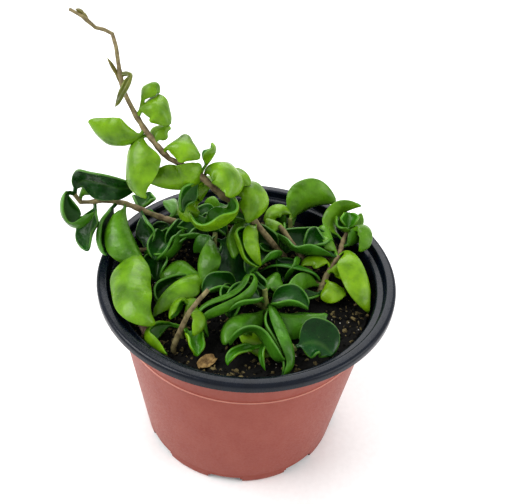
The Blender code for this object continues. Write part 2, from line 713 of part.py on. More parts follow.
def add_pot(collection, cutters):
    half = 0.5 * SHEET
    lip, top, mouth = RIM_RADIUS - half, POT_HEIGHT - half, MOUTH_RADIUS + half
    ledge = POT_HEIGHT - RIM_DROP - half
    shoulder, foot = SHOULDER_RADIUS - half, FOOT_RADIUS - half
    slope = (shoulder - STACK_STEP - foot) / (ledge - half)
    step_radius = shoulder - slope * (ledge - STACK_STEP_HEIGHT)
    profile = [
        (lip, POT_HEIGHT - RIM_DROP),
        (lip, top - RIM_ROUND),
        (lip - RIM_ROUND, top),
        (mouth, top),
        (mouth - 0.8, ledge),
        (shoulder, ledge - 0.6),
        (step_radius, STACK_STEP_HEIGHT),
        (step_radius - STACK_STEP, STACK_STEP_HEIGHT - STACK_STEP),
        (foot + 0.3, half + 2.0),
        (foot - 0.6, half),
        (foot - FOOT_WIDTH, half),
        (foot - FOOT_WIDTH - 1.0, FLOOR_HEIGHT - half),
        (PAD_RADIUS + 2.0, FLOOR_HEIGHT - half),
        (PAD_RADIUS, half),
        (0.0, half),
    ]
    pot = turned("pot", profile, POT_SEGMENTS, collection)
    shell = pot.modifiers.new("sheet", "SOLIDIFY")
    shell.thickness = SHEET * MM
    shell.offset = 0.0
    shell.use_even_offset = True
    notches = bpy.data.collections.new("drain_notches")
    cutters.children.link(notches)
    for number in range(NOTCHES):
        turn = math.radians(NOTCH_TURN - 90 + number * 360 / NOTCHES)
        shape = bmesh.new()
        bmesh.ops.create_cube(shape, size=1.0)
        mesh = bpy.data.meshes.new("drain_notch")
        shape.to_mesh(mesh)
        shape.free()
        inner, outer = FOOT_RADIUS - FOOT_WIDTH - 4.0, FOOT_RADIUS + 3.0
        place = Matrix.Rotation(turn, 4, "Z") @ Matrix.Translation((0.5 * (inner + outer) * MM, 0.0, 0.0))
        size = Matrix.Diagonal(((outer - inner) * MM, NOTCH_WIDTH * MM, 2 * NOTCH_HEIGHT * MM, 1.0))
        mesh.transform(place @ size)
        notch = new_object("drain_notch_%d" % number, mesh, notches)
        notch.hide_render = True
        notch.display_type = "WIRE"
    cut = pot.modifiers.new("notches", "BOOLEAN")
    cut.operation = "DIFFERENCE"
    cut.operand_type = "COLLECTION"
    cut.collection = notches
    finish(pot, new_material("terracotta_plastic", (0.42, 0.12, 0.09, 1.0), 0.5))


def add_soil(collection, cutters, stems):
    half = 0.5 * SHEET
    edge = SHOULDER_RADIUS - SHEET - SEAT_GAP - STACK_STEP - 1.6
    low_edge = FOOT_RADIUS - FOOT_WIDTH - half
    profile = [(edge * ring / SOIL_RINGS, SOIL_TOP) for ring in range(SOIL_RINGS + 1)]
    profile += [(low_edge, FLOOR_HEIGHT + SEAT_GAP), (0.0, FLOOR_HEIGHT + SEAT_GAP)]
    blank = turned("potting_mix", profile, SOIL_SEGMENTS, collection)
    mesh = solid_mesh(blank)
    for vert in mesh.vertices:
        if vert.co.z > 0.5 * SOIL_TOP * MM:
            vert.co.z = soil_height(vert.co.x / MM, vert.co.y / MM) * MM
    soil = new_object("potting_mix", mesh, collection)
    holes = bpy.data.collections.new("stem_holes")
    cutters.children.link(holes)
    for stem in stems:
        x, y, _ = stem.route[0]
        shape = bmesh.new()
        radius = (stem.radii[0] + SEAT_GAP) * MM / math.cos(math.pi / 10)
        depth = ROOT_DEPTH + SEAT_GAP
        bmesh.ops.create_cone(
            shape, cap_ends=True, segments=10, radius1=radius, radius2=radius, depth=2 * depth * MM
        )
        mesh = bpy.data.meshes.new(stem.name + "_hole")
        shape.to_mesh(mesh)
        shape.free()
        mesh.transform(Matrix.Translation((x * MM, y * MM, SOIL_TOP * MM)))
        hole = new_object(mesh.name, mesh, holes)
        hole.hide_render = True
        hole.display_type = "WIRE"
    cut = soil.modifiers.new("holes", "BOOLEAN")
    cut.operation = "DIFFERENCE"
    cut.operand_type = "COLLECTION"
    cut.collection = holes
    return finish(soil, new_material("peat_mix", (0.02, 0.016, 0.012, 1.0), 0.95))


def mesh_tree(thing):
    """A search tree of the object's mesh as its modifiers leave it, in millimetres."""
    graph = bpy.context.evaluated_depsgraph_get()
    mesh = thing.evaluated_get(graph).to_mesh()
    points = [vert.co / MM for vert in mesh.vertices]
    tree = BVHTree.FromPolygons(points, [tuple(face.vertices) for face in mesh.polygons])
    thing.evaluated_get(graph).to_mesh_clear()
    return tree


def rest_on(tree, mesh, centre, turn):
    """Turns the mesh and sets it on the surface in the tree, with its lowest point just clear of it."""
    mesh.transform(Matrix.Rotation(math.radians(turn), 4, "Z"))
    low = min(vert.co.z for vert in mesh.vertices)
    high = -math.inf
    for vert in mesh.vertices:
        above = Vector((centre[0] + vert.co.x / MM, centre[1] + vert.co.y / MM, POT_HEIGHT))
        hit = tree.ray_cast(above, Vector((0.0, 0.0, -1.0)))[0]
        if hit:
            high = max(high, hit.z - (vert.co.z - low) / MM)
    mesh.transform(Matrix.Translation((centre[0] * MM, centre[1] * MM, (high + SEAT_GAP) * MM - low)))


def add_bark_chips(collection, soil_tree):
    noise.seed_set(CHIP_SEED)
    bark = new_material("bark", (0.30, 0.20, 0.15, 1.0), 0.9)
    for number, (centre, turn, size) in enumerate(BARK_CHIPS, start=1):
        shape = bmesh.new()
        bmesh.ops.create_cube(shape, size=1.0)
        bmesh.ops.subdivide_edges(shape, edges=shape.edges, cuts=1, use_grid_fill=True)
        for vert in shape.verts:
            shake = noise.noise_vector(vert.co * 2.3 + Vector((number * 7.0, 0.0, 0.0)))
            vert.co += CHIP_ROUGHNESS * shake
            vert.co = Vector([share * length * MM for share, length in zip(vert.co, size)])
        bmesh.ops.triangulate(shape, faces=shape.faces)
        mesh = bpy.data.meshes.new("bark_chip_%d" % number)
        shape.to_mesh(mesh)
        shape.free()
        rest_on(soil_tree, mesh, centre, turn)
        finish(new_object(mesh.name, mesh, collection), bark)


def add_dry_scrap(collection, soil_tree):
    """A dead piece of leaf, curled up at its sides."""
    length, width = SCRAP_SIZE
    shape = bmesh.new()
    bmesh.ops.create_grid(shape, x_segments=4, y_segments=4, size=1.0)
    for vert in shape.verts:
        x, y = vert.co.x, vert.co.y
        outline = math.sqrt(1.0 - 0.7 * x * x)
        rise = 1.8 * y * y + 0.8 * math.sin(2.0 * x + y)
        vert.co = Vector((0.5 * length * x, 0.5 * width * y * outline, rise)) * MM
    bmesh.ops.triangulate(shape, faces=shape.faces)
    mesh = bpy.data.meshes.new("dry_leaf_scrap")
    shape.to_mesh(mesh)
    shape.free()
    sheet = new_object("dry_leaf_scrap", mesh, collection)
    thick = sheet.modifiers.new("thickness", "SOLIDIFY")
    thick.thickness = SCRAP_THICKNESS * MM
    thick.offset = 0.0
    mesh = solid_mesh(sheet)
    rest_on(soil_tree, mesh, SCRAP_CENTRE, 35.0)
    dry = new_material("dry_leaf", (0.35, 0.22, 0.09, 1.0), 0.8)
    finish(new_object("dry_leaf_scrap", mesh, collection), dry)


def stem_tube(stem, route, collection):
    """The stem as a closed tube, from its root in the potting mix, or from its fork, to its tip."""
    x, y, _ = stem.route[0]
    root = [] if stem.fork_of else [Vector((x, y, SOIL_TOP - ROOT_DEPTH))]
    places = [*root, *route]
    curve = bpy.data.curves.new(stem.name, "CURVE")
    curve.dimensions = "3D"
    curve.bevel_depth = MM
    curve.bevel_resolution = 1
    curve.use_fill_caps = True
    spline = curve.splines.new("POLY")
    spline.points.add(len(places) - 1)
    total = route_length(route)
    passed = 0.0
    for index, place in enumerate(places):
        if index > len(root):
            passed += (place - places[index - 1]).length
        spline.points[index].co = (*(place * MM), 1.0)
        spline.points[index].radius = stem.radii[0] + (stem.radii[1] - stem.radii[0]) * passed / total
    mesh = solid_mesh(new_object(stem.name, curve, collection))
    shape = bmesh.new()
    shape.from_mesh(mesh)
    bmesh.ops.remove_doubles(shape, verts=shape.verts, dist=0.00001)
    shape.to_mesh(mesh)
    shape.free()
    return new_object(stem.name, mesh, collection)


def leaf_solid(name, sheet, collection):
    """A thick leaf on its middle surface, with its root inside the stem."""
    half = 0.5 * LEAF_THICKNESS
    columns = len(sheet[0])
    count = (len(sheet) - 1) * columns
    tip, tip_normal = sheet[-1][columns // 2]
    spread = [pair for row in sheet[:-1] for pair in row]
    tops = [point + normal * half for point, normal in spread] + [tip + tip_normal * half]
    bottoms = [point - normal * half for point, normal in spread] + [tip - tip_normal * half]
    top_faces = []
    for face in sheet_faces(sheet):
        corners = [min(corner, count) for corner in face]
        if len(set(corners)) == 3:
            top_faces.append(tuple(corners))
    below = count + 1
    faces = top_faces + [tuple(corner + below for corner in reversed(face)) for face in top_faces]
    left = [row * columns for row in range(len(sheet) - 1)]
    right = [start + columns - 1 for start in left]
    ring = [*range(columns), *right[1:], count, *reversed(left[1:])]
    for start, end in zip(ring, [*ring[1:], ring[0]]):
        faces.append((end, start, start + below))
        faces.append((end, start + below, end + below))
    mesh = bpy.data.meshes.new(name)
    mesh.from_pydata([point * MM for point in tops + bottoms], [], faces)
    shape = bmesh.new()
    shape.from_mesh(mesh)
    if shape.calc_volume(signed=True) < 0.0:
        bmesh.ops.reverse_faces(shape, faces=shape.faces)
    shape.to_mesh(mesh)
    shape.free()
    return new_object(name, mesh, collection)


def keep_outer_skin(mesh):
    """Drops flat flaps, loose scraps and the skins of sealed hollows, so that one closed body is left."""
    shape = bmesh.new()
    shape.from_mesh(mesh)
    bmesh.ops.remove_doubles(shape, verts=shape.verts, dist=0.000001)
    bmesh.ops.triangulate(shape, faces=shape.faces)
    groups, seen_faces = [], set()
    for face in shape.faces:
        if face in seen_faces:
            continue
        group, waiting = [], [face]
        seen_faces.add(face)
        while waiting:
            current = waiting.pop()
            group.append(current)
            for edge in current.edges:
                if len(edge.link_faces) != 2:
                    continue
                for neighbour in edge.link_faces:
                    if neighbour not in seen_faces:
                        seen_faces.add(neighbour)
                        waiting.append(neighbour)
        groups.append(group)
    groups.sort(key=len)
    for group in groups[:-1]:
        bmesh.ops.delete(shape, geom=group, context="FACES")
    part_shared_diagonals(shape)
    shape.to_mesh(mesh)
    shape.free()


def part_shared_diagonals(shape):
    """Gives two flush triangles an edge of their own, where two other faces use their diagonal."""
    for edge in [edge for edge in shape.edges if len(edge.link_faces) > 2]:
        start, end = edge.verts
        for near, far in itertools.combinations(edge.link_faces, 2):
            if near.normal.dot(far.normal) < FLUSH:
                continue
            middle = shape.verts.new((start.co + end.co) / 2)
            for face in (near, far):
                corners = [loop.vert for loop in face.loops]
                for out in (start, end):
                    shape.faces.new([middle if vert is out else vert for vert in corners])
            bmesh.ops.delete(shape, geom=[near, far], context="FACES_ONLY")
            break
    shape.normal_update()


def add_stems(name, stems, routes, sheets, collection):
    """A rooted stem, what forks from it and all their leaves, fused to one body."""
    tube = stem_tube(stems[0], routes[stems[0].name], collection)
    grown = bpy.data.collections.new(name + "_growth")
    bpy.context.scene.collection.children.link(grown)
    for fork in stems[1:]:
        stem_tube(fork, routes[fork.name], grown)
    for stem in stems:
        for number, sheet in enumerate(sheets[stem.name]):
            leaf_solid("%s_leaf_%d" % (stem.name, number), sheet, grown)
    if grown.objects:
        join = tube.modifiers.new("growth", "BOOLEAN")
        join.operation = "UNION"
        join.operand_type = "COLLECTION"
        join.collection = grown
        join.solver = "MANIFOLD"
        tube = new_object(name, solid_mesh(tube), collection)
        keep_outer_skin(tube.data)
    for thing in list(grown.objects):
        bpy.data.objects.remove(thing)
    bpy.data.collections.remove(grown)
    tube.name = name
    finish(tube, new_material(name + "_green", stems[0].colour, 0.35))


def main():
    for thing in list(bpy.data.objects):
        bpy.data.objects.remove(thing)
    plant = bpy.data.collections.new("hindu_rope_plant")
    cutters = bpy.data.collections.new("cutters")
    for collection in (plant, cutters):
        bpy.context.scene.collection.children.link(collection)
    stems = (*STEMS, TWIG_STUB)
    routes, sheets = settle_leaves(stems)
    rooted = [stem for stem in stems if not stem.fork_of]
    for root in rooted:
        forks = [stem for stem in stems if stem.fork_of == root.name]
        add_stems(root.name, [root, *forks], routes, sheets, plant)
    add_pot(plant, cutters)
    soil_tree = mesh_tree(add_soil(plant, cutters, rooted))
    add_bark_chips(plant, soil_tree)
    add_dry_scrap(plant, soil_tree)


main()
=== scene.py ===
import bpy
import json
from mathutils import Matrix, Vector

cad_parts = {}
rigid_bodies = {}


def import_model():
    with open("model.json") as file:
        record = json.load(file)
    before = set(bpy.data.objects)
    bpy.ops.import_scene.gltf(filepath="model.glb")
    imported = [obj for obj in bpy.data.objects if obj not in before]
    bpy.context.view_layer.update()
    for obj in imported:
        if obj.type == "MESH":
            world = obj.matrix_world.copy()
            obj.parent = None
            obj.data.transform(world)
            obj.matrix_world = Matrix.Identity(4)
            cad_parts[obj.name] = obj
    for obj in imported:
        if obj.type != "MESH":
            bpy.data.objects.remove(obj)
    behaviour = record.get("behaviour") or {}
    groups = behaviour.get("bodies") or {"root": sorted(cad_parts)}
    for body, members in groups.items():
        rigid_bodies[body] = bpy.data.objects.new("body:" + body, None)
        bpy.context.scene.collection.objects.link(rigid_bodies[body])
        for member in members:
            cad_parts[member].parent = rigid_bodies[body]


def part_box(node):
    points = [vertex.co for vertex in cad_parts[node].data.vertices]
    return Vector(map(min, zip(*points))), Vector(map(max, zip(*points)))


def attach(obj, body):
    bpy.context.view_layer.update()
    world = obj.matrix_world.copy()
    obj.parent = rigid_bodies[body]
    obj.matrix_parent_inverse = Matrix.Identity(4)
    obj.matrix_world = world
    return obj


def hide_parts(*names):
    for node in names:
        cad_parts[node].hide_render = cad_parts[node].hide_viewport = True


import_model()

"""Hindu rope plant (Hoya carnosa, the compact curled form) in its two-tone nursery pot: the finished looks.

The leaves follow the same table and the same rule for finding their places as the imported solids, on
a finer grid. Lengths in the tables are in millimetres and angles in degrees, and MM makes them metres.
"""

import json
import math
import random
from dataclasses import dataclass, replace

import bmesh
import bpy
import numpy as np
from mathutils import Matrix, Vector, noise
from mathutils.bvhtree import BVHTree

bl_info = {
    "name": "Hindu Rope Plant",
    "version": (1, 0, 0),
    "blender": (4, 5, 0),
    "location": "View3D > Sidebar > Plant",
    "description": "Builds a compact curled hoya in a thin nursery pot",
    "category": "Add Mesh",
}

MM = 0.001
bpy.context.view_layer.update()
POT_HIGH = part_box("pot")[1]

# Pot: its height and rim come from the frame. The step that stacked pots rest on, the band at the foot
# and the notches follow the photograph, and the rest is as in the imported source
SHEET = 1.0
POT_HEIGHT = round(POT_HIGH.z / MM, 1)
RIM_RADIUS = round(POT_HIGH.x / MM, 1)
RIM_DROP = 4.0
RIM_ROUND = 1.5
MOUTH_RADIUS = 70.5
SHOULDER_RADIUS = 67.9
STACK_STEP_HEIGHT = 81.5
STACK_STEP = 0.6
STACK_STEP_FALL = 0.3
FOOT_BAND = 7.5
FOOT_BAND_STEP = 0.7
FOOT_RADIUS = 55.0
FOOT_WIDTH = 5.5
FLOOR_HEIGHT = 6.0
PAD_RADIUS = 20.0
POT_SEGMENTS = 192
NOTCHES = 8
NOTCH_WIDTH = 19.0
NOTCH_HEIGHT = 4.2
NOTCH_TURN = -5.0
NOTCH_ROUND = 1.2
BLACK_BELOW_RIM = 1.2
SHARP_ANGLE = 25.0

# Potting mix. Crowding is the least and the most of a kind of crumb, as a share of its density
SOIL_TOP = 95.0
SOIL_RELIEF = 1.6
SOIL_LUMP = 14.0
SOIL_SEGMENTS = 160
SOIL_RINGS = 72
CRUMB_RELIEF = 0.9
CRUMB_SPACING = 3.2
PATCHES_IN_A_METRE = 60.0
CROWDING = (0.25, 2.0)
ROOT_DEPTH = 16.0
SEAT_GAP = 0.3

# Leaves and stems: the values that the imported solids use
LEAF_GAP = 0.7
LEAF_THICKNESS = 1.3
PETIOLE = 3.0
PETIOLE_HALF_WIDTH = 1.1
MIDRIB_STEPS = 36
BLADE_ROWS = (0.0, 0.2, 0.46, 0.74, 1.0)
BLADE_COLUMNS = (-1.0, -0.55, 0.0, 0.55, 1.0)
NARROW_COLUMNS = (-1.0, 0.0, 1.0)
NARROW_ROWS = (0.0, 0.22, 0.5, 0.78, 1.0)
NARROW_WIDTH = 24.0
SKIRT_SHAPE = ((0.35, 1.0), (0.7, 1.2), (1.0, 0.4))
SKIRT_STEP = 1.7
ROOT_ROWS = 2
RUFFLE = 0.1
RUFFLE_WAVES = 1.6
BROADEST = 0.38
FOLD_REACH = 3.0
TIGHTEST_CURL = 0.7
STEM_SPAN = 5
CROSSING_COST = 48.0
LIFT_COST = 6
ROLL_COST = 0.6
SHRINK_COST = 130
SEED = 7

# Leaves: what only the finished blade has. A pair is for its upper side and its underside
INNER_COLUMNS = 13
EDGE_ANGLES = (60.0, 30.0, 0.0)
WIDEST_EDGE = 0.6
RIM_SWELL = 0.12
RIM_WIDTH = 0.4
RIM_PALENESS = (0.6, 0.35)
NO_RIM_BELOW = 2.0
RIB_DEPTH = 0.22
RIB_WIDTH = 0.7
RIB_PALENESS = (0.15, 0.25)
FULL_RIB_FROM = 6.0
QUILT_DEPTH = 0.16
QUILT_SPACING = 6.0
QUILT_FROM_EDGE = 3.0
SAME_PLACE = 0.002

# Stems: what only the finished twigs have
CORKY_STEMS = ("tall_stem", "left_stem", "right_stem", "pruned_stub")
TWIG_SIDES = 14
TWIG_STEPS = 3
JOINT_REACH = 2.0
JOINT_SWELL = 0.3
BARK_RELIEF = 0.35
BARK_GRAIN = 1.6

# Camera, as it stood for the photograph: distances are in metres and the sensor is in millimetres
VIEW_RISE = 40.4
VIEW_ROLL = 3.97
VIEW_DISTANCE = 0.359
VIEW_TARGET = (0.0034, 0.0, 0.1199)
FOCAL_PIXELS = 717.0
FRAME_PIXELS = 511.0
SENSOR_WIDTH = 36.0

# Lights: name, place and size in metres, and share of the key light's power
LIGHTS = (
    ("key", (-0.75, -0.15, 0.95), 0.8, 1.0),
    ("fill", (1.0, -0.3, 0.6), 0.9, 0.55),
    ("back", (0.0, 0.85, 0.85), 0.9, 0.6),
)
LIT_POINT = (0.0, 0.0, 0.11)
SKY_STRENGTH = 0.75

# Loose pieces on the mix: centre, turn, and length, width and thickness
BARK_CHIPS = (
    ((-48.5, -34.0), -58.0, (12.0, 4.6, 2.6)),
    ((44.0, -30.0), 20.0, (6.0, 3.2, 2.0)),
    ((56.0, 2.0), 75.0, (5.0, 3.0, 1.8)),
)
CHIP_SEED = 1796066724
CHIP_ROUGHNESS = 0.14
CHIP_FIBRE = 0.05
CHIP_SHARP_ANGLE = 50.0
SCRAP_CENTRE = (-15.5, -54.0)
SCRAP_TURN = 35.0
SCRAP_SIZE = (9.0, 6.0)
SCRAP_THICKNESS = 0.7

# How far along from old dark growth, 0, to new lime growth, 1
OLD_GREEN = 0.2
NEW_GREEN = 0.75


@dataclass
class Leaf:
    """One leaf. Its midrib's points are seen from the leaf's base on the stem: how far to the right
    and up they look from the front, and how far they rise."""

    at: float  # length of stem below the leaf
    midrib: tuple
    face: tuple  # where the upper side looks at the midrib's middle: a clock angle in the front
    # view, anticlockwise from its right, and a lean towards the viewer
    width: float  # of the flattened blade
    fold: float = 15.0  # angle that each half rises to the upper side
    cup: float = 70.0  # angle that each half turns further by its margin
    twist: float = 0.0  # turn of the blade from its base to its tip
    petiole: float = PETIOLE
    tone: float = -1.0  # 0 is old and dark, 1 is new and lime, and below 0 it is as its stem
    filler: bool = False  # settled after the leaves that are seen from the front


@dataclass
class Stem:
    """A stem's route from its root or its fork to its tip, its radius at both ends, and its leaves."""

    name: str
    route: tuple
    radii: tuple
    leaves: tuple
    tone: float
    fork_of: str = ""


def skirt(at, turns, reach, rise, width, tone):
    """Leaves low on a stem that lie out round it, one above the other: turns are seen from above."""
    leaves = []
    for index, turn in enumerate(turns):
        side, back = math.cos(math.radians(turn)), math.sin(math.radians(turn))
        midrib = []
        for share, lift in SKIRT_SHAPE:
            right, away, up = side * reach * share, back * reach * share, rise * lift
            slope = math.radians(VIEW_RISE)
            midrib.append((right, away * math.sin(slope) + up * math.cos(slope), up))
        leaves.append(Leaf(
            at + SKIRT_STEP * index, tuple(midrib), (90, VIEW_RISE), width, tone=tone, filler=True,
        ))
    return tuple(leaves)


TALL_STEM = Stem(
    "tall_stem",
    (
        (23, 15, 98), (13, 14, 113), (3, 12, 128), (-6, 10, 140), (-14, 9, 146), (-23, 8, 156),
        (-30, 8, 162), (-40, 9, 166), (-49, 11, 176), (-54, 13, 183), (-59, 16, 191), (-62, 19, 198),
        (-64, 24, 206), (-67, 30, 216), (-75, 33, 217), (-81, 35, 221), (-87, 37, 223),
    ),
    (1.9, 0.8),
    (
        Leaf(38, ((0, -5, -2), (0.5, -13, -6), (4.5, -22, -11)), (200, 60), 32, 10, 150),
        Leaf(38, ((-7, -1, 0), (-10.5, -8, -3), (-6, -20, -9)), (0, -40), 18, 15, 70, tone=0.4),
        Leaf(56, ((3, 7, 6), (9, 6, 7), (11.5, -2, 0.5), (7, -9.5, -8)), (180, -60), 22, 10, 50),
        Leaf(62, ((1, 7, 5), (7, 9.5, 8), (13, 6, 4)), (250, -60), 16, 10, 50),
        Leaf(
            62,
            ((4.5, 0, 0), (7.5, -6, -4), (3, -13, -9), (-6, -17, -11), (-13, -13.5, -9), (-16, -10, -7)),
            (120, 20), 28, 10, 60, petiole=4,
        ),
        Leaf(67, ((-6, -1, 0), (-12, -6.5, -4), (-9, -14, -9), (0, -13, -9)), (40, -30), 24, 10, 60),
        Leaf(76, ((-6, -5, -4), (-9.5, -11, -8), (-8, -17, -13)), (0, 40), 13, 15, 50, tone=0.2),
        Leaf(74, ((0.5, 7, 5), (7, 8, 6), (12, 2, 1), (11, -6, -5)), (215, -50), 28, 10, 60),
        Leaf(77, ((1.5, 6, 4), (5, 12, 9), (3, 16.5, 12)), (180, 10), 13, 20, 60, petiole=6),
        Leaf(
            82, ((2.5, 3, 2), (1.5, -4, -2), (-4, -10, -7), (-14.5, -12.5, -8), (-24.5, -13.5, -9)),
            (135, -40), 30, 10, 50,
        ),
        Leaf(98.6, ((3.5, 3, 4), (10.5, 3.5, 5), (17, -1.5, -2)), (260, -65), 19, 10, 55),
        Leaf(102, ((-1.5, 4, 4), (1, 8.5, 7), (5, 9, 6)), (270, -60), 11, 10, 50),
        Leaf(
            108, ((-6.5, -3.5, -2), (-7.5, -15, -10), (-4.5, -24.5, -18), (0.5, -27.5, -21)), (0, -50),
            30, 10, 55,
        ),
        Leaf(113, ((-4, -5, -4), (-12, -7, -5), (-20, -4, -2), (-25.5, 2, 2)), (75, -30), 27, 10, 55),
        Leaf(119, ((4, 4.5, 5), (10, 4, 5), (14.5, -3.5, -3)), (230, -65), 19, 10, 50),
        Leaf(119, ((2, 7, 5.5), (3.5, 12, 10), (7, 15.5, 12), (8.5, 11, 8)), (280, -50), 10, 10, 50, petiole=8),
        Leaf(139, ((4.5, 0, 1), (4.5, -5, -2), (-1, -15, -10)), (200, 50), 6, 20, 60, tone=1.8),
        Leaf(135, ((-3, 5, 4), (-7.5, 11.5, 9)), (20, 60), 2, 0, 20, tone=2.0),
        Leaf(171, ((-2, 3, 2), (-5, 4, 4)), (90, 40), 2.5, 10, 20, tone=2.0),
        *skirt(9, (200, 140), 22, 4, 20, tone=0.1),
        *skirt(38, (100, 190), 20, -3, 20, tone=0.4),
    ),
    NEW_GREEN,
)

LEFT_STEM = Stem(
    "left_stem",
    (
        (-24, 28, 98), (-28, 28, 105), (-35, 27, 112), (-50, 26, 118), (-67, 26, 125), (-78, 24, 127),
        (-89, 23, 126), (-92, 24, 130),
    ),
    (1.8, 1.0),
    (
        Leaf(80, ((5, 8, 6), (17, 6, 8), (26, 5, 6), (33, 7, 5)), (255, 45), 20, 8, 25, tone=0.05),
        Leaf(76, ((3, 11, 4), (10, 13, 5), (16, 9.5, 3)), (270, -40), 16, tone=0.35),
        Leaf(84, ((-4, -5, 0), (0, -15, -6), (7.5, -16, -6), (13, -8, -1)), (40, 25), 18, tone=0.15),
        Leaf(68, ((0, -9, -8), (-1, -18, -13), (0, -26, -15)), (190, 55), 17, 10, 40, tone=0.1),
        Leaf(56, ((-5, -7, -4), (-8, -15, -9), (-7, -23, -13), (-1, -28, -14)), (0, 25), 15, tone=0.15),
        Leaf(52, ((0, -13, -5), (3, -25, -10), (5.5, -36, -15)), (170, -40), 28, 15, 85, twist=60, tone=0.3),
        Leaf(43, ((3, -6, -3), (7.5, -14, -8), (4.5, -23, -12)), (200, 45), 18, 12, 50, tone=0.05),
        Leaf(19, ((0, -9, -3), (-3.5, -16.5, -6), (-11, -19, -8), (-19, -16, -7)), (125, 20), 25, tone=0.15),
        Leaf(33, ((-5, 2, 2), (-9, 1, 1)), (95, 40), 4, 20, 20, tone=0.5),
        Leaf(18, ((0.5, 5, 4), (1.5, 11, 9)), (0, 30), 1.6, 0, 10, tone=2.0),
        Leaf(24, ((-6, -6, -6), (-12, -14, -11)), (90, 30), 16, tone=0.1, filler=True),
        Leaf(28, ((3, 6, 1), (1, 12, -2)), (200, -20), 16, filler=True),
        *skirt(8, (165, 235, 310), 22, 4, 20, tone=0.1),
        *skirt(46, (75,), 18, -4, 18, tone=0.2),
    ),
    OLD_GREEN,
)

LEFT_FRONT_STEM = Stem(
    "left_front_stem",
    ((-30, 28, 107), (-40, 20, 107), (-50, 10, 109), (-58, 5, 111)),
    (1.6, 1.1),
    (
        Leaf(
            35, ((-1, -6, 4.5), (1, -16, 6), (7, -26, 4.5), (16, -34, -3)), (280, -45), 23, 5, 40,
            petiole=4, tone=0.6,
        ),
        Leaf(22, ((2, -9, -4), (5, -18, -8)), (100, 40), 18, tone=0.1, filler=True),
        *skirt(14, (250, 0), 20, 4, 20, tone=0.1),
    ),
    OLD_GREEN,
    "left_stem",
)

CENTRE_STEM = Stem(
    "centre_stem",
    ((10, -22, 98), (10, -21, 106), (9, -19, 113)),
    (1.7, 1.1),
    (
        Leaf(
            15, ((-8, 2, 0), (-12.5, -5.5, -2), (-23.5, -11.5, -5), (-28.5, -17.5, -9), (-26.5, -25, -14)),
            (60, 55), 25, 10, 150,
        ),
        Leaf(4, ((-6, -3.5, 2), (-13, -5.5, 3), (-18, -11, 0), (-16, -19.5, -4)), (300, -25), 28, 10, 80),
        Leaf(4, ((7, -2, 2), (18, -2, 0), (31, -0.5, -4)), (270, -40), 23, 20, 50, tone=0.15),
        Leaf(
            6, ((5, -3.5, 2), (10, -13, 0), (13.5, -22.5, -3), (9, -30, -6)), (160, 45), 23, 10, 150,
            tone=0.15,
        ),
        Leaf(13, ((2, 5, 0), (6, 10, -4)), (300, -30), 21, filler=True),
        *skirt(5, (30, 120, 210), 22, 4, 20, tone=0.1),
    ),
    OLD_GREEN,
)

CENTRE_LEFT_STEM = Stem(
    "centre_left_stem",
    ((10, -21.5, 103), (-2, -14, 103), (-12, -6, 105), (-16, 0, 110), (-18, 10, 117), (-18, 14, 119)),
    (1.6, 1.1),
    (
        Leaf(51, ((-5.5, -9.5, -2), (-5, -20, -8), (0, -27, -12)), (0, -40), 23, 15, 70, tone=0.3),
        Leaf(49, ((7.5, -5, -4), (10, -16, -10), (8, -25, -14)), (60, 60), 28, 5, 20, tone=0.0),
        Leaf(
            31, ((-13, 0.5, 0), (-20, 4.5, 1), (-27, 0.5, -1), (-28, -5.5, -5)), (270, -10), 23, 15, 75,
            petiole=9, tone=0.3,
        ),
        Leaf(
            29, ((-14, 3, 0), (-27, 1.5, -3), (-33, -3, -5), (-33, -7.5, -6), (-28.5, -11.5, -7)), (0, 40), 16,
            15, 60, petiole=16,
        ),
        Leaf(
            27, ((-5.5, -0.5, 2), (-14.5, 1.5, 4), (-26, -6, 3), (-31, -20, -3)), (305, -20), 25, 15, 70,
            tone=0.55,
        ),
        Leaf(24, ((0, 7, 1), (6, 12, -2)), (200, -20), 21, tone=0.1, filler=True),
        Leaf(38, ((-5, 4, -1), (-12, 5, -4)), (60, -20), 21, tone=0.1, filler=True),
        *skirt(14, (190, 260), 20, 4, 20, tone=0.1),
    ),
    OLD_GREEN,
    "centre_stem",
)

FRONT_STEM = Stem(
    "front_stem",
    ((10, -22, 101), (18, -36, 100), (25, -48, 103)),
    (1.6, 1.0),
    (
        Leaf(29, ((7, 3, 3), (13, 2, 2), (18, -2.5, 0)), (120, 65), 25, 5, 30, tone=0.0),
        Leaf(
            28, ((-7, -6, -2), (-12, 0, 2), (-17, 6, 6), (-23.5, 6, 6), (-29.5, -1, -2)), (100, -15), 16, 0, 30,
            tone=0.1,
        ),
        Leaf(27, ((-14, -3, 0), (-22, 0, 3), (-26, -4, 0)), (270, -45), 18, 10, 40, tone=0.8),
        Leaf(28, ((-10, 2, 2), (-14, -3, 0), (-12, -11, -4)), (180, 30), 5, 10, 40, tone=0.6),
        Leaf(25, ((-22, -4, 0), (-28, -11, -3)), (90, 50), 7, petiole=16, tone=0.9),
    ),
    OLD_GREEN,
    "centre_stem",
)

FRONT_LEFT_STEM = Stem(
    "front_left_stem",
    ((-29, -38, 98), (-28, -37, 104), (-27, -35, 110)),
    (1.5, 1.0),
    (
        Leaf(12, ((-1.5, 6, 4), (-6, 4, 3), (-7, -3.5, 0)), (315, 20), 14),
        Leaf(12, ((0.5, 4, 3), (3.5, 6.5, 3)), (270, -50), 14),
        Leaf(11, ((5, 3, 2), (9, -1, 1), (5, -8.5, -3)), (180, -30), 16),
        Leaf(
            3, ((-15.5, 0.5, 0), (-20, -5, -1), (-15.5, -10, -2), (-6, -13, -2)), (330, 30), 18,
            petiole=6, tone=0.7,
        ),
        Leaf(4, ((5, -5, -1), (9.5, -11.5, -3)), (80, 40), 14, tone=0.9),
    ),
    NEW_GREEN,
)

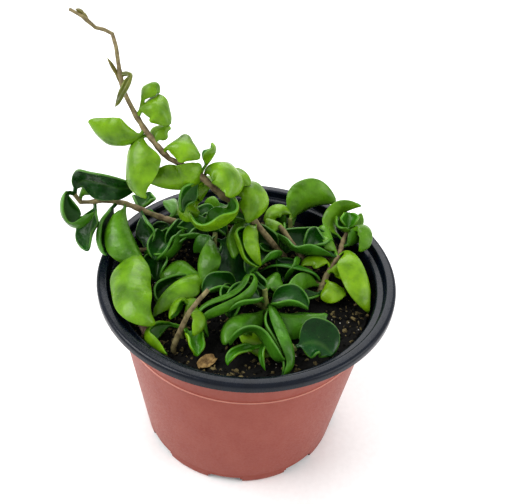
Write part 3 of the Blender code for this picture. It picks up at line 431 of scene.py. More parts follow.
RIGHT_STEM = Stem(
    "right_stem",
    ((38, -4, 98), (41, 3, 105), (47, 12, 111)),
    (1.6, 1.0),
    (
        Leaf(
            2, ((-4.5, 7.5, 6), (-14.5, 11, 9), (-25.5, 9.5, 6), (-35.5, 5, 1)), (270, 35), 18, 10, 50,
            tone=0.0,
        ),
        Leaf(4, ((-10, 3, 3), (-20.5, -0.5, 3), (-33, -1.5, 0)), (60, -45), 23, 10, 50, tone=0.25),
        Leaf(3, ((-4, -4, 0), (-14.5, -6, 0), (-27, -4.5, 0), (-35, 2.5, 1)), (90, 30), 14, 10, 60, tone=0.1),
        Leaf(22, ((-10.5, 1, 0), (-19.5, 2, -1), (-28, 6, 1), (-34, 11.5, 5)), (95, 30), 32, 10, 75, tone=0.1),
        Leaf(
            21, ((-11.5, 9.5, 5), (-15.5, 10, 5), (-17.5, 5.5, 1)), (270, -20), 16, 15, 80,
            petiole=9, tone=0.3,
        ),
        Leaf(22, ((-3.5, 5.5, 3), (-7, 10, 6), (-12.5, 11.5, 6)), (230, -20), 16, tone=0.4),
        Leaf(22, ((6.5, 2.5, 3), (12.5, -7, 1), (15.5, -27.5, -12)), (215, -35), 28, 15, 50, tone=0.9),
        Leaf(14, ((-5, 5, 4), (-12.5, 4.5, 4), (-16, -2, 1)), (290, -15), 20, tone=0.95),
        Leaf(10, ((3, 4, 3), (9, 6, 4), (10.5, -2, 1)), (250, -45), 22, 15, 50, tone=0.95),
        Leaf(8, ((4, -3, 0), (10.5, -7.5, -3)), (250, -50), 20, 15, 50, tone=0.95),
    ),
    NEW_GREEN,
)

CENTRE_RIGHT_STEM = Stem(
    "centre_right_stem",
    ((39, -2, 101), (34, 4, 103), (30, 10, 106), (22, 18, 113), (15, 24, 119)),
    (1.7, 1.2),
    (
        Leaf(36, ((-3, 4, 2), (-10, 6, 2)), (260, -30), 21, tone=0.7),
        Leaf(20, ((-6, -6, -2), (-12, -12, -6)), (120, 30), 21, tone=0.1, filler=True),
        *skirt(22, (30,), 20, 2, 20, tone=0.1),
    ),
    OLD_GREEN,
    "right_stem",
)

FAR_RIGHT_STEM = Stem(
    "far_right_stem",
    ((45, 9, 109), (48, 18, 110), (50, 25, 112), (52, 28, 115)),
    (1.4, 1.0),
    (
        Leaf(20, ((3, 1.5, 0), (-2, 2.5, 0), (-5.5, 10, 5)), (60, 35), 21, tone=0.4),
        Leaf(20, ((0.5, 5, 3), (0.5, 12, 6)), (270, 45), 14, tone=0.6),
        Leaf(20, ((8.5, 6, 4), (12.5, 0, 1), (7, -8, -5)), (200, -30), 23, tone=0.4),
        Leaf(20, ((5.5, 5, 3), (11, 10, 6)), (300, -30), 9, tone=0.4),
        Leaf(16, ((-8.5, 5.5, 2), (-8, 14, 8), (-3, 21, 14)), (180, -30), 17, petiole=4, tone=0.5),
        Leaf(12, ((5, 3, -1), (10, 7, -3)), (200, 20), 17, filler=True),
    ),
    OLD_GREEN,
    "right_stem",
)

BACK_RIGHT_STEM = Stem(
    "back_right_stem",
    ((22, 38, 98), (22, 40, 105), (21, 41, 111)),
    (1.6, 1.0),
    (
        Leaf(12, ((-3, 7.5, 5), (-10, 7, 5), (-13, 1, 1), (-8, -4, -2)), (300, -25), 28, 10, 80, tone=0.75),
        Leaf(11, ((6, 7, 4), (14.5, 10, 7), (26.5, 10, 6)), (100, -35), 30, 10, 60, tone=0.4),
        Leaf(7, ((4, 8, 1), (6, 16, 0)), (200, 20), 21, filler=True),
        Leaf(6, ((-6, 5, 0), (-13, 10, -2)), (0, 20), 21, filler=True),
        Leaf(5, ((-9, -1, 0), (-18, 1, 0)), (90, 20), 18, filler=True),
        *skirt(4, (260,), 22, 4, 20, tone=0.2),
    ),
    OLD_GREEN,
)

BACK_LEFT_STEM = Stem(
    "back_left_stem",
    ((-14, 42, 98), (-16, 43, 104), (-18, 44, 108)),
    (1.5, 1.0),
    (
        Leaf(8, ((-10, 2, 2), (-20, 2, 3), (-29, -2, 0)), (270, -35), 21, tone=0.8),
        Leaf(6, ((-6, -5, 0), (-12, -10, -2)), (90, 40), 18, tone=0.3, filler=True),
        Leaf(7, ((-3, 6, -1), (-9, 12, -3)), (20, 20), 18, tone=0.4, filler=True),
        Leaf(5, ((8, 5, 0), (16, 9, -1)), (100, 20), 18, tone=0.3, filler=True),
        *skirt(4, (200, 320), 20, 4, 20, tone=0.2),
    ),
    NEW_GREEN,
)

STEMS = (
    TALL_STEM, LEFT_STEM, LEFT_FRONT_STEM, RIGHT_STEM, CENTRE_RIGHT_STEM, FAR_RIGHT_STEM,
    CENTRE_STEM, CENTRE_LEFT_STEM, FRONT_STEM, FRONT_LEFT_STEM, BACK_RIGHT_STEM, BACK_LEFT_STEM,
)

TWIG_STUB = Stem(
    "pruned_stub",
    ((-32, -47, 98), (-30, -45, 104), (-25, -41, 116), (-21, -38, 121), (-17, -35, 125)),
    (1.5, 1.1),
    (),
    OLD_GREEN,
)


def seen(direction):
    """Turns a clock angle and a lean, as seen from the front, to a direction in space."""
    clock, lean = (math.radians(angle) for angle in direction)
    rise = math.radians(VIEW_RISE)
    up = Vector((0.0, math.sin(rise), math.cos(rise)))
    towards = Vector((0.0, -math.cos(rise), math.sin(rise)))
    across = Vector((1.0, 0.0, 0.0))
    return (across * math.cos(clock) + up * math.sin(clock)) * math.cos(lean) + towards * math.sin(lean)


def smooth_route(points):
    """Points of a Catmull-Rom curve through the given ones."""
    points = [Vector(p) for p in points]
    ends = [2 * points[0] - points[1], *points, 2 * points[-1] - points[-2]]
    route = []
    for before, start, end, after in zip(ends, ends[1:], ends[2:], ends[3:]):
        steps = max(1, round((end - start).length / STEM_SPAN))
        for step in range(steps):
            t = step / steps
            route.append(
                0.5
                * (
                    2 * start
                    + (end - before) * t
                    + (2 * before - 5 * start + 4 * end - after) * t**2
                    + (3 * start - before - 3 * end + after) * t**3
                )
            )
    return [*route, points[-1]]


def point_at(route, distance):
    """The point that lies this far along the route."""
    for start, end in zip(route, route[1:]):
        span = (end - start).length
        if distance <= span:
            return start.lerp(end, distance / span)
        distance -= span
    return route[-1].copy()


def route_length(route):
    return sum((end - start).length for start, end in zip(route, route[1:]))


def from_front(right, up, rise):
    """The way to a place that looks this far to the right and up from the front, and rises this far."""
    angle = math.radians(VIEW_RISE)
    nearer = (rise - up * math.cos(angle)) / math.sin(angle)
    return Vector((right, up * math.sin(angle) - nearer * math.cos(angle), rise))


def smooth_point(points, share):
    """The place at this share of the smoothest curve through all the points."""
    last = len(points) - 1
    place = Vector((0.0, 0.0, 0.0))
    for index, point in enumerate(points):
        weights = [(share * last - other) / (index - other) for other in range(last + 1) if other != index]
        place += math.prod(weights) * point
    return place


def half_width(leaf, share):
    """Half the blade's width at this share of its length: broad and oval, with a pointed tip."""
    if not 0.0 < share < 1.0:
        return PETIOLE_HALF_WIDTH * (1.0 - share)
    root = math.sin(0.5 * math.pi * min(1.0, share / BROADEST)) ** 0.95
    tip = 1.0 - max(0.0, (share - BROADEST) / (1.0 - BROADEST)) ** 2.6
    return max(PETIOLE_HALF_WIDTH * (1.0 - share), 0.5 * leaf.width * root * tip)


def midrib(leaf, base):
    """Places from the stem's middle to the leaf's tip: share of the blade, point, along, normal, curl.

    The normal is the upper side's, and the curl is the midrib's bend for each millimetre."""
    shape = [Vector((0.0, 0.0, 0.0))] + [from_front(*point) for point in leaf.midrib]
    points = [smooth_point(shape, step / MIDRIB_STEPS) for step in range(MIDRIB_STEPS + 1)]
    ways = [(points[min(i + 1, MIDRIB_STEPS)] - points[max(i - 1, 0)]) for i in range(MIDRIB_STEPS + 1)]
    spans = [way.length for way in ways]
    ways = [way.normalized() for way in ways]
    half = MIDRIB_STEPS // 2
    normals = [None] * (MIDRIB_STEPS + 1)
    normals[half] = seen(leaf.face)
    for order in (range(half, MIDRIB_STEPS + 1), range(half, -1, -1)):
        last = normals[half]
        for index in order:
            last = (last - last.dot(ways[index]) * ways[index]).normalized()
            normals[index] = last
    length = route_length(points)
    places, passed = [], 0.0
    for index, point in enumerate(points):
        if index:
            passed += (point - points[index - 1]).length
        before, after = ways[max(index - 1, 0)], ways[min(index + 1, MIDRIB_STEPS)]
        curl = (after - before) / max(spans[index], 0.001)
        share = (passed - leaf.petiole) / (length - leaf.petiole)
        turn = Matrix.Rotation(math.radians(leaf.twist) * (passed / length - 0.5), 3, ways[index])
        places.append((share, base + point, ways[index], turn @ normals[index], curl))
    return places


def blade_point(leaf, place, across, phase):
    """A point of the blade and its normal: place is on the midrib, across runs from -1 to 1.

    A margin stays out of the midrib's own curl, where the two would cross."""
    share, point, along, normal, curl = place
    share = min(1.0, max(0.0, share))
    half = half_width(leaf, share)
    grown = min(1.0, half / FOLD_REACH)
    fold, cup = math.radians(leaf.fold) * grown, math.radians(leaf.cup) * grown
    hand = -1.0 if across < 0 else 1.0
    side = along.cross(normal) * hand
    reach = abs(across)
    angle = fold + cup * reach
    if abs(cup) < 0.001:
        out, up = math.cos(fold) * reach, math.sin(fold) * reach
    else:
        out = (math.sin(angle) - math.sin(fold)) / cup
        up = (math.cos(fold) - math.cos(angle)) / cup
    out, up = out * half, up * half
    up /= math.hypot(1.0, max(0.0, up * curl.dot(normal)) / TIGHTEST_CURL)
    out /= math.hypot(1.0, max(0.0, out * curl.dot(side)) / TIGHTEST_CURL)
    tilted = normal
    if reach > 0.0:
        tilted = normal * math.cos(angle) - side * math.sin(angle)
    wave = half * RUFFLE * reach**2 * math.sin(2 * math.pi * RUFFLE_WAVES * share + phase * hand)
    return point + side * out + normal * up + tilted * wave, tilted


def blade_sheet(leaf, base, phase):
    """The leaf's middle surface as rows of (point, normal), petiole first."""
    places = midrib(leaf, base)
    narrow = leaf.width <= NARROW_WIDTH
    rows = [places[0]]
    for share in NARROW_ROWS if narrow else BLADE_ROWS:
        rows.append(min(places[1:], key=lambda place: abs(place[0] - share)))
    columns = NARROW_COLUMNS if narrow else BLADE_COLUMNS
    return [[blade_point(leaf, place, across, phase) for across in columns] for place in rows]


def sheet_faces(sheet, first=0):
    """The triangles between the sheet's points, whose numbers start from the first."""
    columns = len(sheet[0])
    faces = []
    for row in range(len(sheet) - 1):
        for column in range(columns - 1):
            corner = first + row * columns + column
            opposite = corner + columns + 1
            faces.append((corner, corner + 1, opposite))
            faces.append((corner, opposite, corner + columns))
    return faces


def sheet_tree(sheet, lift):
    """A search tree of the sheet's two faces, each lifted off the middle surface."""
    points, faces = [], []
    for hand in (1.0, -1.0):
        faces.extend(sheet_faces(sheet, len(points)))
        points.extend(p + n * hand * lift for row in sheet for p, n in row)
    return BVHTree.FromPolygons(points, faces)


def ring_faces(rings, sides):
    """The faces between this many rings of points, each with this many sides."""
    faces = []
    for ring in range(rings - 1):
        for side in range(sides):
            corner, after = ring * sides + side, ring * sides + (side + 1) % sides
            faces.append((corner, after, after + sides, corner + sides))
    return faces


def tube_tree(route, radii, lift):
    """A search tree of a stem's tube, widened by the lift."""
    points = []
    sides = 8
    total = route_length(route)
    passed = 0.0
    for index, place in enumerate(route):
        ahead = route[min(index + 1, len(route) - 1)] - route[max(index - 1, 0)]
        across = ahead.orthogonal().normalized()
        if index:
            passed += (place - route[index - 1]).length
            across = (last - last.dot(ahead) / ahead.length_squared * ahead).normalized()
        last = across
        other = ahead.normalized().cross(across)
        radius = radii[0] + (radii[1] - radii[0]) * passed / total + lift
        for side in range(sides):
            angle = 2 * math.pi * side / sides
            points.append(place + (across * math.cos(angle) + other * math.sin(angle)) * radius)
    return BVHTree.FromPolygons(points, ring_faces(len(route), sides))


def clear_of_pot(sheet, lift):
    """Whether the sheet stays off the potting mix, the pot's wall and its rim."""
    inside = SHOULDER_RADIUS - SHEET - STACK_STEP - lift
    for first, second in zip(sheet[1:], sheet[2:]):
        for column, (corner, _) in enumerate(first):
            after = first[min(column + 1, len(first) - 1)][0]
            above = second[column][0]
            for point in (corner, corner.lerp(after, 0.5), corner.lerp(above, 0.5), above):
                radius = math.hypot(point.x, point.y)
                if radius < RIM_RADIUS + lift and point.z < SOIL_TOP + SOIL_RELIEF + lift:
                    return False
                if inside < radius < RIM_RADIUS + lift and point.z < POT_HEIGHT + lift:
                    return False
    return True


def nudges(leaf):
    """The leaf as drawn and then changed a little: pairs of cost and leaf, the cheapest first."""
    options = []
    for clock in (0, 7, -7, 14, -14, 22, -22, 32, -32, 45, -45):
        for lift in (0, 1, 2, -1, 3.5, 5, 7, 9):
            for roll in (0, 15, -15, 30, -30):
                for size in (1.0, 0.93, 0.86, 0.78, 0.7):
                    cost = abs(clock) + LIFT_COST * abs(lift) + ROLL_COST * abs(roll)
                    cost += SHRINK_COST * (1.0 - size)
                    options.append((cost, clock, lift, roll, size))
    for cost, clock, lift, roll, size in sorted(options):
        cos, sin = math.cos(math.radians(clock)) * size, math.sin(math.radians(clock)) * size
        count = len(leaf.midrib)
        shape = tuple(
            (right * cos - up * sin, right * sin + up * cos, rise * size + lift * index / count)
            for index, (right, up, rise) in enumerate(leaf.midrib, start=1)
        )
        face = (leaf.face[0] + clock + roll, leaf.face[1])
        yield cost, replace(leaf, midrib=shape, face=face, width=leaf.width * size)


def settle_leaves(stems):
    """Finds a place for every leaf that is clear of the pot, the stems and the leaves before it.

    Leaves of one body may cross, as they are fused, but only where keeping apart costs more.
    The fillers come after the others, and take the room that is left."""
    chance = random.Random(SEED)
    lift = 0.5 * (LEAF_THICKNESS + LEAF_GAP)
    routes = {stem.name: smooth_route(stem.route) for stem in stems}
    tubes = [
        (stem.fork_of or stem.name, tube_tree(routes[stem.name], stem.radii, 0.5 * LEAF_GAP))
        for stem in stems
    ]
    settled = {stem.name: [] for stem in stems}
    placed = []
    for filler in (False, True):
        for stem, drawn in ((s, leaf) for s in stems for leaf in s.leaves if leaf.filler == filler):
            body = stem.fork_of or stem.name
            phase = chance.uniform(0.0, 2.0 * math.pi)
            base = point_at(routes[stem.name], drawn.at)
            best, best_cost = None, math.inf
            for cost, leaf in nudges(drawn):
                if cost >= best_cost:
                    break
                sheet = blade_sheet(leaf, base, phase)
                if not clear_of_pot(sheet, lift):
                    continue
                whole, blade = sheet_tree(sheet, lift), sheet_tree(sheet[ROOT_ROWS:], lift)
                if any(whole.overlap(tree) for other, tree in tubes if other != body):
                    continue
                if any(whole.overlap(tree) for other, tree, _ in placed if other != body):
                    continue
                if any(blade.overlap(tree) for other, _, tree in placed if other == body):
                    cost += CROSSING_COST
                if cost < best_cost:
                    best, best_cost = (leaf, sheet, whole, blade), cost
            if best is None:
                continue
            leaf, sheet, whole, blade = best
            placed.append((body, whole, blade))
            settled[stem.name].append((leaf, base, phase))
    return routes, settled


def linear(hex_colour):
    """An sRGB hex colour as linear red, green, blue and alpha."""
    shares = [int(hex_colour[start:start + 2], 16) / 255 for start in (1, 3, 5)]
    return tuple(s / 12.92 if s <= 0.04045 else ((s + 0.055) / 1.055) ** 2.4 for s in shares) + (1.0,)


def give(tree, socket, value):
    """Links another socket to this one, or sets this one's own value."""
    if isinstance(value, bpy.types.NodeSocket):
        tree.links.new(value, socket)
    else:
        socket.default_value = value


def add_node(tree, kind, inputs=None, **settings):
    """Adds a node, sets its properties, and gives each input a value or a link."""
    node = tree.nodes.new(kind)
    for name, value in settings.items():
        setattr(node, name, value)
    for key, value in (inputs or {}).items():
        give(tree, node.inputs[key], value)
    return node


def result(tree, kind, inputs=None, **settings):
    """The first output of a new node."""
    return add_node(tree, kind, inputs, **settings).outputs[0]


def maths(tree, operation, first, second):
    return result(tree, "ShaderNodeMath", {0: first, 1: second}, operation=operation)


def ranged(tree, value, low, high, new_low, new_high):
    """The value carried over from one span to another, and kept within it."""
    span = {"Value": value, "From Min": low, "From Max": high, "To Min": new_low, "To Max": new_high}
    return result(tree, "ShaderNodeMapRange", span)


def colour_mix(tree, share, first, second, blend="MIX"):
    """The colour between two others, each a socket or a colour."""
    inputs = {0: share, 6: first, 7: second}
    return add_node(tree, "ShaderNodeMix", inputs, data_type="RGBA", blend_type=blend).outputs[2]


def noise_of(tree, spacing, detail=3.0, roughness=0.5, stretch=(1.0, 1.0, 1.0)):
    """A noise on object coordinates whose patches are about this many millimetres across."""
    place = add_node(tree, "ShaderNodeTexCoord").outputs["Object"]
    mapped = result(tree, "ShaderNodeMapping", {"Vector": place, "Scale": stretch})
    scale = 1.0 / (spacing * MM)
    inputs = {"Vector": mapped, "Scale": scale, "Detail": detail, "Roughness": roughness}
    return result(tree, "ShaderNodeTexNoise", inputs)


def relief(tree, height, strength, depth):
    """The normal of a skin that rises and falls with the pattern, by up to this many millimetres."""
    inputs = {"Height": height, "Strength": strength, "Distance": depth * MM}
    return result(tree, "ShaderNodeBump", inputs)


def wire(material, **values):
    """Gives the shader's sockets, named in lower case with underscores, a value or a link."""
    shader = material.node_tree.nodes["Principled BSDF"]
    for word, value in values.items():
        socket = shader.inputs[word.replace("_", " ").title().replace("Ior", "IOR")]
        give(material.node_tree, socket, value)
    return material


def start_material(name, **constants):
    """A Principled material and its tree, with the sockets that are the same all over set."""
    material = bpy.data.materials.new(name)
    material.use_nodes = True
    return wire(material, **constants), material.node_tree


def leaf_material(look):
    """Waxy hoya leaf: a thick smooth cuticle, darker above than below, with a pale hard margin.

    It gives broad soft highlights on a saturated green."""
    material, tree = start_material(
        "waxy_hoya_leaf", ior=1.45, specular_ior_level=0.32, coat_weight=0.12, coat_roughness=0.18,
        subsurface_weight=0.12, subsurface_scale=0.002, subsurface_radius=(0.5, 1.0, 0.2),
    )
    tone, under, rim, rib = (
        add_node(tree, "ShaderNodeAttribute", attribute_name=name).outputs["Fac"]
        for name in ("tone", "under", "rim", "rib")
    )
    above = colour_mix(tree, tone, (*look.old_above, 1.0), (*look.new_above, 1.0))
    below = colour_mix(tree, tone, (*look.old_below, 1.0), (*look.new_below, 1.0))
    green = colour_mix(tree, under, above, below)
    # Random darker patches about 9 mm across: partly the leaf's own mottle, partly painted shade, made deep to
    # stand in for shading across the blades
    clouds = ranged(tree, noise_of(tree, 9.0), 0.3, 0.7, 0.0, 1.0)
    shade = colour_mix(tree, clouds, linear("#a3b193"), linear("#ffffff"))
    green = colour_mix(tree, 1.0, green, shade, "MULTIPLY")
    flecks = ranged(tree, noise_of(tree, 1.4, 2.0), 0.66, 0.8, 0.0, 0.25)
    green = colour_mix(tree, flecks, green, linear("#8fae5a"))
    green = colour_mix(tree, rib, green, linear("#6c9440"))
    green = colour_mix(tree, rim, green, (*look.margin, 1.0))
    withered = colour_mix(tree, clouds, linear("#4a4420"), linear("#7a7434"))
    fading = ranged(tree, tone, 1.0, 2.0, 0.0, 1.0)
    return wire(
        material,
        base_color=colour_mix(tree, fading, green, withered),
        roughness=ranged(tree, noise_of(tree, 5.0), 0.3, 0.7, 0.24, 0.4),
        normal=relief(tree, noise_of(tree, 4.6, 2.0), 0.5, 1.3),
    )


def twig_material(name, green_share):
    """Corky hoya stem: matt grey brown bark with fine cracks, green where it is young."""
    material, tree = start_material(name, ior=1.45)
    patches = ranged(tree, noise_of(tree, 3.0, 4.0), 0.35, 0.65, 0.0, 1.0)
    bark = colour_mix(tree, patches, linear("#5a4a35"), linear("#8f8062"))
    young = colour_mix(tree, patches, linear("#5d6b33"), linear("#8a9450"))
    mottled = ranged(tree, noise_of(tree, 14.0), 0.35, 0.65, max(0.0, green_share - 0.3), green_share)
    return wire(
        material,
        base_color=colour_mix(tree, mottled, bark, young),
        roughness=ranged(tree, patches, 0.0, 1.0, 0.6, 0.85),
        normal=relief(tree, noise_of(tree, 0.8, 4.0, 0.65), 0.5, 0.3),
    )


def plastic_material(name, colour, dust_and_highlight_tint, roughness):
    """Thermoformed polystyrene sheet: an even satin skin with faint drawn streaks and dust."""
    material, tree = start_material(name, ior=1.5, specular_ior_level=0.3)
    dust = ranged(tree, noise_of(tree, 9.0, 4.0, 0.55, (1.0, 1.0, 0.5)), 0.3, 0.8, 0.0, 0.5)
    return wire(
        material,
        base_color=colour_mix(tree, dust, colour, dust_and_highlight_tint),
        roughness=ranged(tree, noise_of(tree, 1.2, 3.0), 0.3, 0.7, roughness - 0.07, roughness + 0.09),
        normal=relief(tree, noise_of(tree, 0.7, 2.0), 0.1, 0.1),
    )


def earth_material(name, dark, light, spacing, roughness=0.95):
    """Damp peat, bark or perlite: matt, broken into light and dark specks of its grain."""
    material, tree = start_material(name, roughness=roughness, ior=1.4)
    grain = ranged(tree, noise_of(tree, spacing, 5.0, 0.65), 0.35, 0.68, 0.0, 1.0)
    return wire(
        material,
        base_color=colour_mix(tree, grain, linear(dark), linear(light)),
        normal=relief(tree, noise_of(tree, 0.5 * spacing, 4.0, 0.6), 0.6, 0.3),
    )


def stage_material():
    """Matt white studio paper, with the faintest tooth."""
    material, tree = start_material("matt_studio_paper", roughness=0.9, ior=1.4)
    tooth = ranged(tree, noise_of(tree, 3.0, 2.0), 0.3, 0.7, 0.0, 1.0)
    return wire(material, base_color=colour_mix(tree, tooth, linear("#f6f6f6"), linear("#fafafa")))


def new_object(name, data):
    thing = bpy.data.objects.new(name, data)
    bpy.context.scene.collection.objects.link(thing)
    return thing


def mesh_of(shape, name):
    """The mesh of a finished bmesh, which is freed."""
    mesh = bpy.data.meshes.new(name)
    shape.to_mesh(mesh)
    shape.free()
    return mesh


def settled_mesh(thing):
    """The object's mesh with its modifiers applied. The object itself is removed."""
    graph = bpy.context.evaluated_depsgraph_get()
    mesh = bpy.data.meshes.new_from_object(thing.evaluated_get(graph))
    bpy.data.objects.remove(thing)
    return mesh


def add_piece(name, mesh, slot, *nodes):
    """A finished piece: it rides with the plant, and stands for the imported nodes."""
    mesh.name = name
    piece = new_object(name, mesh)
    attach(piece, "root")
    if nodes:
        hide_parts(*nodes)
    return piece


def run_tree(thing, tree, **values):
    """The mesh that a geometry tree makes of the object, with the tree's inputs given by name."""
    modifier = thing.modifiers.new(tree.name, "NODES")
    modifier.node_group = tree
    for item in tree.interface.items_tree:
        if item.in_out == "INPUT" and item.name in values:
            modifier[item.identifier] = values[item.name]
    return settled_mesh(thing)


def start_tree(name, **inputs):
    """An empty geometry tree with these inputs, each a name and a kind of socket."""
    tree = bpy.data.node_groups.new(name, "GeometryNodeTree")
    for label, kind in (("Geometry", "Geometry"), *inputs.items()):
        tree.interface.new_socket(label, in_out="INPUT", socket_type="NodeSocket" + kind)
    tree.interface.new_socket("Geometry", in_out="OUTPUT", socket_type="NodeSocketGeometry")
    return tree, add_node(tree, "NodeGroupInput").outputs


def end_tree(tree, geometry, material):
    """Ends a tree in real geometry with its material."""
    real = result(tree, "GeometryNodeRealizeInstances", {"Geometry": geometry})
    coloured = result(tree, "GeometryNodeSetMaterial", {"Geometry": real, "Material": material})
    add_node(tree, "NodeGroupOutput", {"Geometry": coloured})
    return tree


def moved(tree, geometry, way, distance):
    """The geometry with each point moved along its own way, a vector, by this distance times it."""
    offset = result(tree, "ShaderNodeVectorMath", {0: way, "Scale": distance}, operation="SCALE")
    return result(tree, "GeometryNodeSetPosition", {"Geometry": geometry, "Offset": offset})


def bark_tree():
    """Turns a curve to a round twig with its own radius, and roughens it along its normals."""
    tree, given = start_tree("twig_along_curve", Roughness="Float", Grain="Float", Material="Material")
    tube = result(tree, "GeometryNodeCurveToMesh", {
        "Curve": given["Geometry"],
        "Profile Curve": result(
            tree, "GeometryNodeCurvePrimitiveCircle", {"Resolution": TWIG_SIDES, "Radius": MM}
        ),
        "Scale": result(tree, "GeometryNodeInputRadius"),
        "Fill Caps": True,
    })
    fineness = maths(tree, "DIVIDE", 1.0, given["Grain"])
    bumps = result(tree, "ShaderNodeTexNoise", {"Scale": fineness, "Detail": 2.0})
    height = maths(tree, "MULTIPLY", maths(tree, "SUBTRACT", bumps, 0.5), given["Roughness"])
    rough = moved(tree, tube, result(tree, "GeometryNodeInputNormal"), height)
    smooth = result(tree, "GeometryNodeSetShadeSmooth", {"Geometry": rough})
    return end_tree(tree, smooth, given["Material"])


def crumb_tree():
    """Scatters rough crumbs over the surface that it is given, thicker in some patches than others."""
    tree, given = start_tree(
        "crumbs_on_surface", Density="Float", Smallest="Float", Largest="Float", Flatness="Float",
        Seed="Int", Material="Material",
    )
    patches = result(tree, "ShaderNodeTexNoise", {"Scale": PATCHES_IN_A_METRE, "Detail": 1.0})
    crowding = ranged(tree, patches, 0.4, 0.65, *CROWDING)
    points = result(tree, "GeometryNodeDistributePointsOnFaces", {
        "Mesh": given["Geometry"],
        "Density": maths(tree, "MULTIPLY", given["Density"], crowding),
        "Seed": given["Seed"],
    })
    span = {2: given["Smallest"], 3: given["Largest"], "Seed": given["Seed"]}
    size = add_node(tree, "FunctionNodeRandomValue", span, data_type="FLOAT").outputs[1]
    turn = result(tree, "FunctionNodeRandomValue", {1: (math.tau,) * 3}, data_type="FLOAT_VECTOR")
    ball = result(tree, "GeometryNodeMeshIcoSphere", {"Radius": 0.5, "Subdivisions": 2})
    squash = result(tree, "ShaderNodeCombineXYZ", {"X": 1.0, "Y": 0.8, "Z": given["Flatness"]})
    crumbs = result(tree, "GeometryNodeInstanceOnPoints", {
        "Points": points,
        "Instance": result(tree, "GeometryNodeTransform", {"Geometry": ball, "Scale": squash}),
        "Rotation": turn,
        "Scale": size,
    })
    real = result(tree, "GeometryNodeRealizeInstances", {"Geometry": crumbs})
    fineness = maths(tree, "DIVIDE", 0.8, given["Largest"])
    lumps = add_node(tree, "ShaderNodeTexNoise", {"Scale": fineness, "Detail": 2.0}).outputs["Color"]
    centred = result(tree, "ShaderNodeVectorMath", {0: lumps, 1: (0.5,) * 3}, operation="SUBTRACT")
    return end_tree(tree, moved(tree, real, centred, given["Largest"]), given["Material"])


def mesh_from_rings(name, rings):
    """A closed tube through rings of points, with a cap at each end."""
    count = len(rings[0])
    last = (len(rings) - 1) * count
    caps = [tuple(range(count - 1, -1, -1)), tuple(range(last, last + count))]
    mesh = bpy.data.meshes.new(name)
    points = [tuple(point) for ring in rings for point in ring]
    mesh.from_pydata(points, [], ring_faces(len(rings), count) + caps)
    return mesh


def blade_grid(places, leaf, phase):
    """The blade's middle surface, fine at its margins: each row's places across, points and normals."""
    spans, rows = [], []
    for place in places:
        half = half_width(leaf, min(1.0, max(0.0, place[0])))
        edge = min(WIDEST_EDGE, 0.5 * LEAF_THICKNESS / max(half, 0.01))
        inner = [(2.0 * i / (INNER_COLUMNS - 1) - 1.0) * (1.0 - edge) for i in range(INNER_COLUMNS)]
        round_edge = [1.0 - edge + edge * math.cos(math.radians(angle)) for angle in EDGE_ANGLES]
        spans.append([-x for x in reversed(round_edge)] + inner + round_edge)
        rows.append([blade_point(leaf, place, x, phase)[0] for x in spans[-1]])
    surface = np.array(rows)
    normals = np.cross(np.gradient(surface, axis=0), np.gradient(surface, axis=1))
    lengths = np.linalg.norm(normals, axis=2, keepdims=True)
    guide = np.array([[place[3]] * surface.shape[1] for place in places])
    normals = np.where(lengths > 0.001, normals / np.maximum(lengths, 0.001), guide)
    flip = np.sum(normals[:, surface.shape[1] // 2] * guide[:, 0], axis=1) < 0.0
    normals[flip] *= -1.0
    return spans, surface, normals


def blade_rows(leaf, base, phase):
    """The finished blade: rings of points round it, with what its material reads at each point."""
    places = midrib(leaf, base)
    spans, surface, normals = blade_grid(places, leaf, phase)
    half_thick = 0.5 * LEAF_THICKNESS
    rings, values = [], []
    for row, place in enumerate(places):
        half = half_width(leaf, min(1.0, max(0.0, place[0])))
        slim = min(1.0, 0.15 + half / LEAF_THICKNESS)
        upper, lower, upper_values, lower_values = [], [], [], []
        for column, x in enumerate(spans[row]):
            point, normal = surface[row, column], normals[row, column]
            from_edge = (1.0 - abs(x)) * half
            inward = min(1.0, from_edge / half_thick)
            thick = half_thick * math.sqrt(max(0.0, 1.0 - (1.0 - inward) ** 2)) * slim
            rim, margin = 0.0, 0.0
            if half > NO_RIM_BELOW:
                rim = math.exp(-((from_edge - 0.5 * RIM_WIDTH) / (0.6 * RIM_WIDTH)) ** 2)
                margin = max(0.0, 1.0 - from_edge / RIM_WIDTH)
            thick += RIM_SWELL * rim * min(1.0, inward)
            rib = math.exp(-((x * half) / RIB_WIDTH) ** 2) * min(1.0, half / FULL_RIB_FROM)
            quilt = QUILT_DEPTH * noise.noise(Vector(point) / QUILT_SPACING + Vector((phase, 0.0, 0.0)))
            quilt *= min(1.0, from_edge / QUILT_FROM_EDGE)
            upper.append(point + normal * (thick + quilt - RIB_DEPTH * rib))
            lower.append(point - normal * (thick - quilt + 0.6 * RIB_DEPTH * rib))
            upper_values.append((0.0, RIM_PALENESS[0] * margin, RIB_PALENESS[0] * rib))
            lower_values.append((1.0, RIM_PALENESS[1] * margin, RIB_PALENESS[1] * rib))
        # The two edge points belong to both sides, so each is kept once
        rings.append(upper + lower[-2:0:-1])
        values.append(upper_values + lower_values[-2:0:-1])
    return rings, values


def leaf_mesh(leaf, base, phase, tone):
    """The finished leaf, with what its material reads at each point."""
    rings, values = blade_rows(leaf, base, phase)
    mesh = mesh_from_rings("leaf", [[point * MM for point in ring] for ring in rings])
    readings = zip(*((*value, tone) for ring in values for value in ring))
    for name, reading in zip(("under", "rim", "rib", "tone"), readings):
        mesh.attributes.new(name, "FLOAT", "POINT").data.foreach_set("value", reading)
    return mesh


def joined(name, meshes, material):
    """One mesh of several, smooth, with its faces turned outwards."""
    shape = bmesh.new()
    for mesh in meshes:
        shape.from_mesh(mesh)
        bpy.data.meshes.remove(mesh)
    bmesh.ops.remove_doubles(shape, verts=shape.verts, dist=SAME_PLACE * MM)
    bmesh.ops.recalc_face_normals(shape, faces=shape.faces)
    mesh = mesh_of(shape, name)
    mesh.materials.append(material)
    mesh.shade_smooth()
    return mesh


